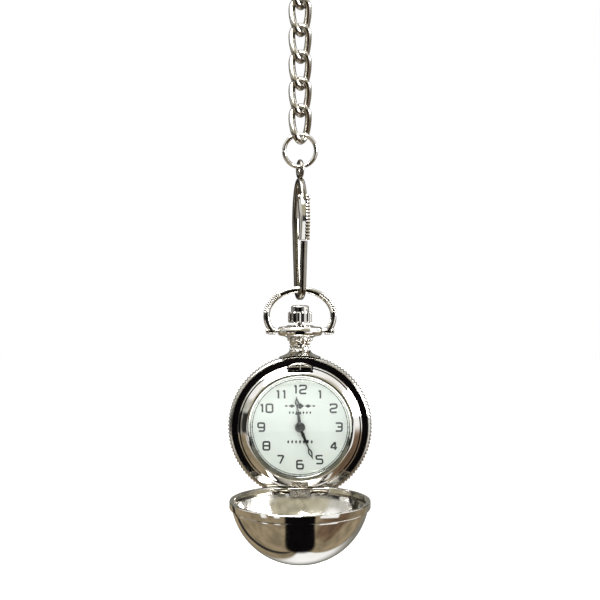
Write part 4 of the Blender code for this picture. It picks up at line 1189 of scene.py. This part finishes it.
def tent_cards(tree, x, y, z, colours):
    """The cards of the light tent, each as its share in a direction and its colour. A direction is told by
    its bearing, which is 0 in front, where the camera stands, and positive to the right, and by its height
    over the horizon."""
    cards = (
        # colour, bearings, heights, softness of the edges
        (colours.grey_card, 118, 242, -40, 50, 14),
        (colours.warm_card, -165, -20, -100, -8, 5),
        (colours.warm_card, 20, 140, -100, -8, 5),
        (colours.brown_card, 38, 92, -62, -9, 8),
        (colours.grey_card, -112, -50, -9, 5, 4),
        (colours.pale_card, -112, -50, 6, 26, 5),
        (colours.tent, -100, -62, 24, 80, 3),
        (colours.smoke_card, 24, 52, -2, 11, 3),
        (colours.smoke_card, -145, -134, -75, -3, 2),
        (colours.smoke_card, -154, -118, -4, 16, 4),
        (colours.smoke_card, 126, 146, -7, 50, 3),
        (colours.tent, 34, 68, -24, -4, 2),
        (colours.tent, -44, -34, -24, -10, 2),
        (colours.tent, -68, -58, -24, -10, 2),
        (colours.smoke_card, -76, -24, -10, 10, 2),
    )
    front = add_node(tree, "ShaderNodeMath", {**PRODUCT, "in_0": -1.0}, in_1=y).outputs[0]
    down = add_node(tree, "ShaderNodeMath", {**PRODUCT, "in_0": -1.0}, in_1=z).outputs[0]
    bearing = add_node(tree, "ShaderNodeMath", {"operation": "ARCTAN2"}, in_0=x, in_1=front).outputs[0]
    turned = add_node(tree, "ShaderNodeMath", {"operation": "ADD", "in_1": 2 * math.pi}, in_0=bearing)
    settings = {"operation": "MODULO", "in_1": 2 * math.pi}
    full_bearing = add_node(tree, "ShaderNodeMath", settings, in_0=turned.outputs[0]).outputs[0]
    height = add_node(tree, "ShaderNodeMath", {"operation": "ARCSINE"}, in_0=z).outputs[0]
    layers = []
    for colour, left, right, bottom, top, soft in cards:
        across = band(tree, full_bearing if right > 180 else bearing, left, right, soft)
        along = band(tree, height, bottom, top, soft)
        share = add_node(tree, "ShaderNodeMath", PRODUCT, in_0=across, in_1=along).outputs[0]
        layers.append((share, colour))

    # The card over the camera has a straight lower edge, and the open front of the tent under the camera is
    # narrower towards the floor.
    share = rounded_card(tree, bearing, height, (3, 8), (58, 46))
    over = band(tree, height, 10, 90, 2)
    share = add_node(tree, "ShaderNodeMath", PRODUCT, in_0=share, in_1=over).outputs[0]
    layers.append((share, colours.front_card))
    side = add_node(tree, "ShaderNodeMath", {"operation": "ARCSINE"}, in_0=x).outputs[0]
    pitch = add_node(tree, "ShaderNodeMath", {"operation": "ARCTAN2"}, in_0=down, in_1=front).outputs[0]
    settings = {"operation": "MULTIPLY_ADD", "in_1": 0.5 / math.radians(90), "in_2": 1.0}
    narrowing = add_node(tree, "ShaderNodeMath", settings, in_0=pitch).outputs[0]
    side = add_node(tree, "ShaderNodeMath", PRODUCT, in_0=side, in_1=narrowing).outputs[0]
    layers.append((rounded_card(tree, side, pitch, (0, 44), (27, 57)), colours.dark_gap))
    return layers


def build_world(colours):
    """A white light tent with mottled cards in it. The camera itself sees a plain white backdrop."""
    world = bpy.data.worlds.new("light_tent")
    bpy.context.scene.world = world
    world.use_nodes = True
    tree = world.node_tree
    direction = add_node(tree, "ShaderNodeTexCoord").outputs["Generated"]
    x, y, z = add_node(tree, "ShaderNodeSeparateXYZ", Vector=direction).outputs
    cloud = add_node(tree, "ShaderNodeTexNoise", {"Scale": 5.0, "Detail": 4.0}, Vector=direction)
    settings = {"From Min": 0.35, "From Max": 0.65, "To Min": 0.72, "To Max": 1.2}
    mottle = add_node(tree, "ShaderNodeMapRange", settings, Value=cloud.outputs["Fac"]).outputs["Result"]
    colour = add_node(tree, "ShaderNodeRGB").outputs[0]
    colour.default_value = (*colours.tent, 1)
    for share, card in tent_cards(tree, x, y, z, colours):
        paint = add_node(tree, "ShaderNodeRGB").outputs[0]
        paint.default_value = (*card, 1)
        if card != colours.tent:
            settings = {"operation": "SCALE"}
            paint = add_node(tree, "ShaderNodeVectorMath", settings, Vector=paint, Scale=mottle).outputs[0]
        layer = add_node(tree, "ShaderNodeMix", {"data_type": "RGBA"}, in_0=share, in_6=colour, in_7=paint)
        colour = layer.outputs[2]
    background = tree.nodes["Background"]
    background.inputs["Strength"].default_value = 1.2
    tree.links.new(colour, background.inputs["Color"])
    paper = add_node(tree, "ShaderNodeBackground", {"Color": (1, 1, 1, 1), "Strength": 1.0})
    seen = add_node(tree, "ShaderNodeLightPath").outputs["Is Camera Ray"]
    lit, plain = background.outputs[0], paper.outputs[0]
    both = add_node(tree, "ShaderNodeMixShader", in_0=seen, in_1=lit, in_2=plain)
    tree.links.new(both.outputs[0], tree.nodes["World Output"].inputs["Surface"])


def build_floor(paper):
    """A white floor well below the hanging watch, which its plating doesn't mirror."""
    deselect()
    drop = 90 * MM
    bpy.ops.mesh.primitive_plane_add(size=6, location=(0, 0, CAD_BOX[0].z - drop))
    floor = named("studio_floor")
    apply_place(floor)
    floor.data.materials.append(paper)
    floor.visible_glossy = False


def build_lights():
    """A window to the right, level with the lid's hollow, and a large soft panel above."""
    for name, place, side, power in (
        ("window", Vector((0.56, -0.13, 0.10)), 0.28, 7.0),
        ("panel", Vector((-0.15, -0.26, 0.48)), 0.5, 9.0),
    ):
        light = bpy.data.lights.new(name, "AREA")
        light.size = side
        light.energy = power
        obj = bpy.data.objects.new(name, light)
        bpy.context.scene.collection.objects.link(obj)
        obj.location = place
        obj.rotation_euler = (place - AXIS).to_track_quat("Z", "Y").to_euler()


# ---------------------------------------------------------------- settings


class WatchSizes(bpy.types.PropertyGroup):
    """Sizes that a user would change"""

    turn_steps: IntProperty(
        name="Turn steps", description="Facets round a turned piece", default=160, min=32
    )
    coin_ribs: IntProperty(
        name="Coin ribs", description="Ribs round the case's band", default=120, min=12
    )
    crown_flutes: IntProperty(
        name="Crown flutes", description="Flutes round the crown", default=13, min=6
    )
    link_wire: FloatProperty(
        name="Link wire", description="Thickness of the chain's wire", default=1.44 * MM, unit="LENGTH"
    )
    link_width: FloatProperty(
        name="Link width", description="Width of a link before it is twisted",
        default=4.9 * MM, unit="LENGTH",
    )
    bow_half_height: FloatProperty(
        name="Bow half height", description="Half the bow's height, to the middle of its wire",
        default=5.55 * MM, unit="LENGTH",
    )
    numeral_height: FloatProperty(
        name="Numeral height", description="Height of the hour numerals",
        default=1.62 * MM, unit="LENGTH",
    )
    numeral_width: FloatProperty(
        name="Numeral width", description="Width of one digit", default=1.28 * MM, unit="LENGTH"
    )
    numeral_stroke: FloatProperty(
        name="Numeral stroke", description="Thickness of the pen", default=0.36 * MM, unit="LENGTH"
    )
    numeral_ring: FloatProperty(
        name="Numeral ring", description="Radius of the ring of numerals",
        default=7.9 * MM, unit="LENGTH",
    )


def colour_property(name, description, code):
    return FloatVectorProperty(
        name=name, description=description, subtype="COLOR", size=3, default=linear(code)
    )


class WatchColours(bpy.types.PropertyGroup):
    """Colours that a user would change"""

    nickel: colour_property("Nickel", "Polished nickel plate", "#E3E1DD")
    nickel_stain: colour_property("Nickel stain", "Nickel plate dulled by handling", "#D0CCC3")
    wire: colour_property("Wire", "Nickel plate on the chain and the T-bar", "#C4C0B8")
    # The next colour is the random stain on the chain's plate. It is also the base of the clip's frame and
    # the hinge, darkened there as painted shade. The one after is its darker random patches.
    worn: colour_property("Worn nickel", "Plating rubbed thin", "#98938A")
    worn_dark: colour_property("Dark worn nickel", "Dark patches of worn plating", "#6A665E")
    polish_residue: colour_property("Polish residue", "Polish left in the hollows of a pattern", "#77726A")
    dial: colour_property("Dial", "Lacquer of the dial", "#F3F5F1")
    ink: colour_property("Ink", "Ink of the numerals", "#23252A")
    hands: colour_property("Hands", "Lacquer of the hands", "#0E0E10")
    brass: colour_property("Brass", "Plates of the movement", "#C8A765")
    tent: colour_property("Tent", "White walls of the light tent", "#FFFFFF")
    front_card: colour_property("Front card", "Card over the camera", "#B4AE97")
    pale_card: colour_property("Pale card", "Card on the left, over the horizon", "#C4C3BC")
    smoke_card: colour_property("Smoke card", "Dark strips between the pale cards", "#2E2D2B")
    warm_card: colour_property("Warm card", "Card low at the sides of the tent", "#94866E")
    brown_card: colour_property("Brown card", "Darker card low on the right", "#6E5A48")
    grey_card: colour_property("Grey card", "Cards behind the object and level on its left", "#84827A")
    dark_gap: colour_property("Dark gap", "The open front of the tent", "#0C0A0B")


def sizes():
    return bpy.context.scene.watch_sizes


def colours():
    return bpy.context.scene.watch_colours


# ---------------------------------------------------------------- operators


class WATCH_OT_bar(bpy.types.Operator):
    """Builds the T-bar that the chain hangs from"""

    bl_idname = "pocket_watch.bar"
    bl_label = "T-Bar"

    def execute(self, context):
        build_bar(tumbled_plate(colours()))
        return {"FINISHED"}


class WATCH_OT_chain(bpy.types.Operator):
    """Builds the links of the curb chain"""

    bl_idname = "pocket_watch.chain"
    bl_label = "Chain"

    def execute(self, context):
        build_chain(tumbled_plate(colours()))
        return {"FINISHED"}


class WATCH_OT_ring(bpy.types.Operator):
    """Builds the jump ring between chain and clip"""

    bl_idname = "pocket_watch.ring"
    bl_label = "Jump Ring"

    def execute(self, context):
        build_ring(polished_plate(colours()))
        return {"FINISHED"}


class WATCH_OT_clip(bpy.types.Operator):
    """Builds the snap clip, its gate and its rivet"""

    bl_idname = "pocket_watch.clip"
    bl_label = "Clip"

    def execute(self, context):
        # The clip's frame gets the plate that is darkened as painted shade.
        build_clip_frame(worn_plate(colours()))
        build_clip_gate(polished_plate(colours()))
        build_clip_rivet(polished_plate(colours()))
        return {"FINISHED"}


class WATCH_OT_bow(bpy.types.Operator):
    """Builds the bow and its two screws"""

    bl_idname = "pocket_watch.bow"
    bl_label = "Bow"

    def execute(self, context):
        build_bow(chased_plate(colours()))
        build_screws(polished_plate(colours()))
        return {"FINISHED"}


class WATCH_OT_pendant(bpy.types.Operator):
    """Builds the pendant with its beaded neck"""

    bl_idname = "pocket_watch.pendant"
    bl_label = "Pendant"

    def execute(self, context):
        build_pendant(polished_plate(colours()), chased_plate(colours()))
        return {"FINISHED"}


class WATCH_OT_crown(bpy.types.Operator):
    """Builds the fluted crown and its cap"""

    bl_idname = "pocket_watch.crown"
    bl_label = "Crown"

    def execute(self, context):
        build_crown(polished_plate(colours()))
        return {"FINISHED"}


class WATCH_OT_case(bpy.types.Operator):
    """Builds the case's cup and its coined band"""

    bl_idname = "pocket_watch.case"
    bl_label = "Case"

    def execute(self, context):
        build_case(polished_plate(colours()), chased_plate(colours()))
        return {"FINISHED"}


class WATCH_OT_bezel(bpy.types.Operator):
    """Builds the bezel, the catch in its slot and the crystal"""

    bl_idname = "pocket_watch.bezel"
    bl_label = "Bezel, Catch and Crystal"

    def execute(self, context):
        build_bezel(polished_plate(colours()))
        build_catch(polished_plate(colours()))
        build_crystal(mineral_glass())
        return {"FINISHED"}


class WATCH_OT_dial(bpy.types.Operator):
    """Builds the dial with its numerals, its minute ring and its ornament"""

    bl_idname = "pocket_watch.dial"
    bl_label = "Dial"

    def execute(self, context):
        build_dial(dial_lacquer(colours()))
        ink = printing_ink(colours())
        build_numerals(ink)
        build_track(ink)
        build_flange(polished_plate(colours()))
        return {"FINISHED"}


class WATCH_OT_hands(bpy.types.Operator):
    """Builds the hour hand and the minute hand"""

    bl_idname = "pocket_watch.hands"
    bl_label = "Hands"

    def execute(self, context):
        build_hands(hand_lacquer(colours()))
        return {"FINISHED"}


class WATCH_OT_lid(bpy.types.Operator):
    """Builds the hinge and the domed lid"""

    bl_idname = "pocket_watch.lid"
    bl_label = "Hinge and Lid"

    def execute(self, context):
        # Both halves of the hinge get the plate that is darkened as painted shade.
        build_hinge(worn_plate(colours()))
        build_lid(polished_plate(colours()), dished_plate(colours()))
        build_lid_knuckle(worn_plate(colours()))
        return {"FINISHED"}


class WATCH_OT_works(bpy.types.Operator):
    """Gives the movement, the stem and its sleeve their metals"""

    bl_idname = "pocket_watch.works"
    bl_label = "Works"

    def execute(self, context):
        brass, plate = machined_brass(colours()), tumbled_plate(colours())
        for node, metal in (("movement", brass), ("stem", plate), ("crown_sleeve", brass)):
            obj = frame["nodes"][node]
            for place in obj.material_slots:
                place.material = metal
        return {"FINISHED"}


class WATCH_OT_stage(bpy.types.Operator):
    """Sets up the camera, the light tent, the lights and the floor"""

    bl_idname = "pocket_watch.stage"
    bl_label = "Studio"

    def execute(self, context):
        context.scene.view_settings.view_transform = "Standard"
        build_camera()
        build_world(colours())
        build_floor(backdrop_paper())
        build_lights()
        return {"FINISHED"}


class WATCH_PT_sidebar(bpy.types.Panel):
    """Lists the steps that build the watch"""

    bl_idname = "WATCH_PT_sidebar"
    bl_label = "Pocket Watch"
    bl_space_type = "VIEW_3D"
    bl_region_type = "UI"
    bl_category = "Pocket Watch"

    def draw(self, context):
        for step in STEPS:
            self.layout.operator(step.bl_idname)
        for group in (context.scene.watch_sizes, context.scene.watch_colours):
            for name in group.__annotations__:
                self.layout.prop(group, name)


STEPS = (
    WATCH_OT_bar,
    WATCH_OT_chain,
    WATCH_OT_ring,
    WATCH_OT_clip,
    WATCH_OT_bow,
    WATCH_OT_pendant,
    WATCH_OT_crown,
    WATCH_OT_case,
    WATCH_OT_bezel,
    WATCH_OT_dial,
    WATCH_OT_hands,
    WATCH_OT_lid,
    WATCH_OT_works,
    WATCH_OT_stage,
)
CLASSES = (WatchSizes, WatchColours, *STEPS, WATCH_PT_sidebar)


def register():
    for cls in CLASSES:
        bpy.utils.register_class(cls)
    bpy.types.Scene.watch_sizes = PointerProperty(type=WatchSizes)
    bpy.types.Scene.watch_colours = PointerProperty(type=WatchColours)


def unregister():
    del bpy.types.Scene.watch_colours
    del bpy.types.Scene.watch_sizes
    for cls in reversed(CLASSES):
        bpy.utils.unregister_class(cls)


def main():
    register()
    for step in STEPS:
        group, name = step.bl_idname.split(".")
        getattr(getattr(bpy.ops, group), name)()


if __name__ == "__main__":
    main()
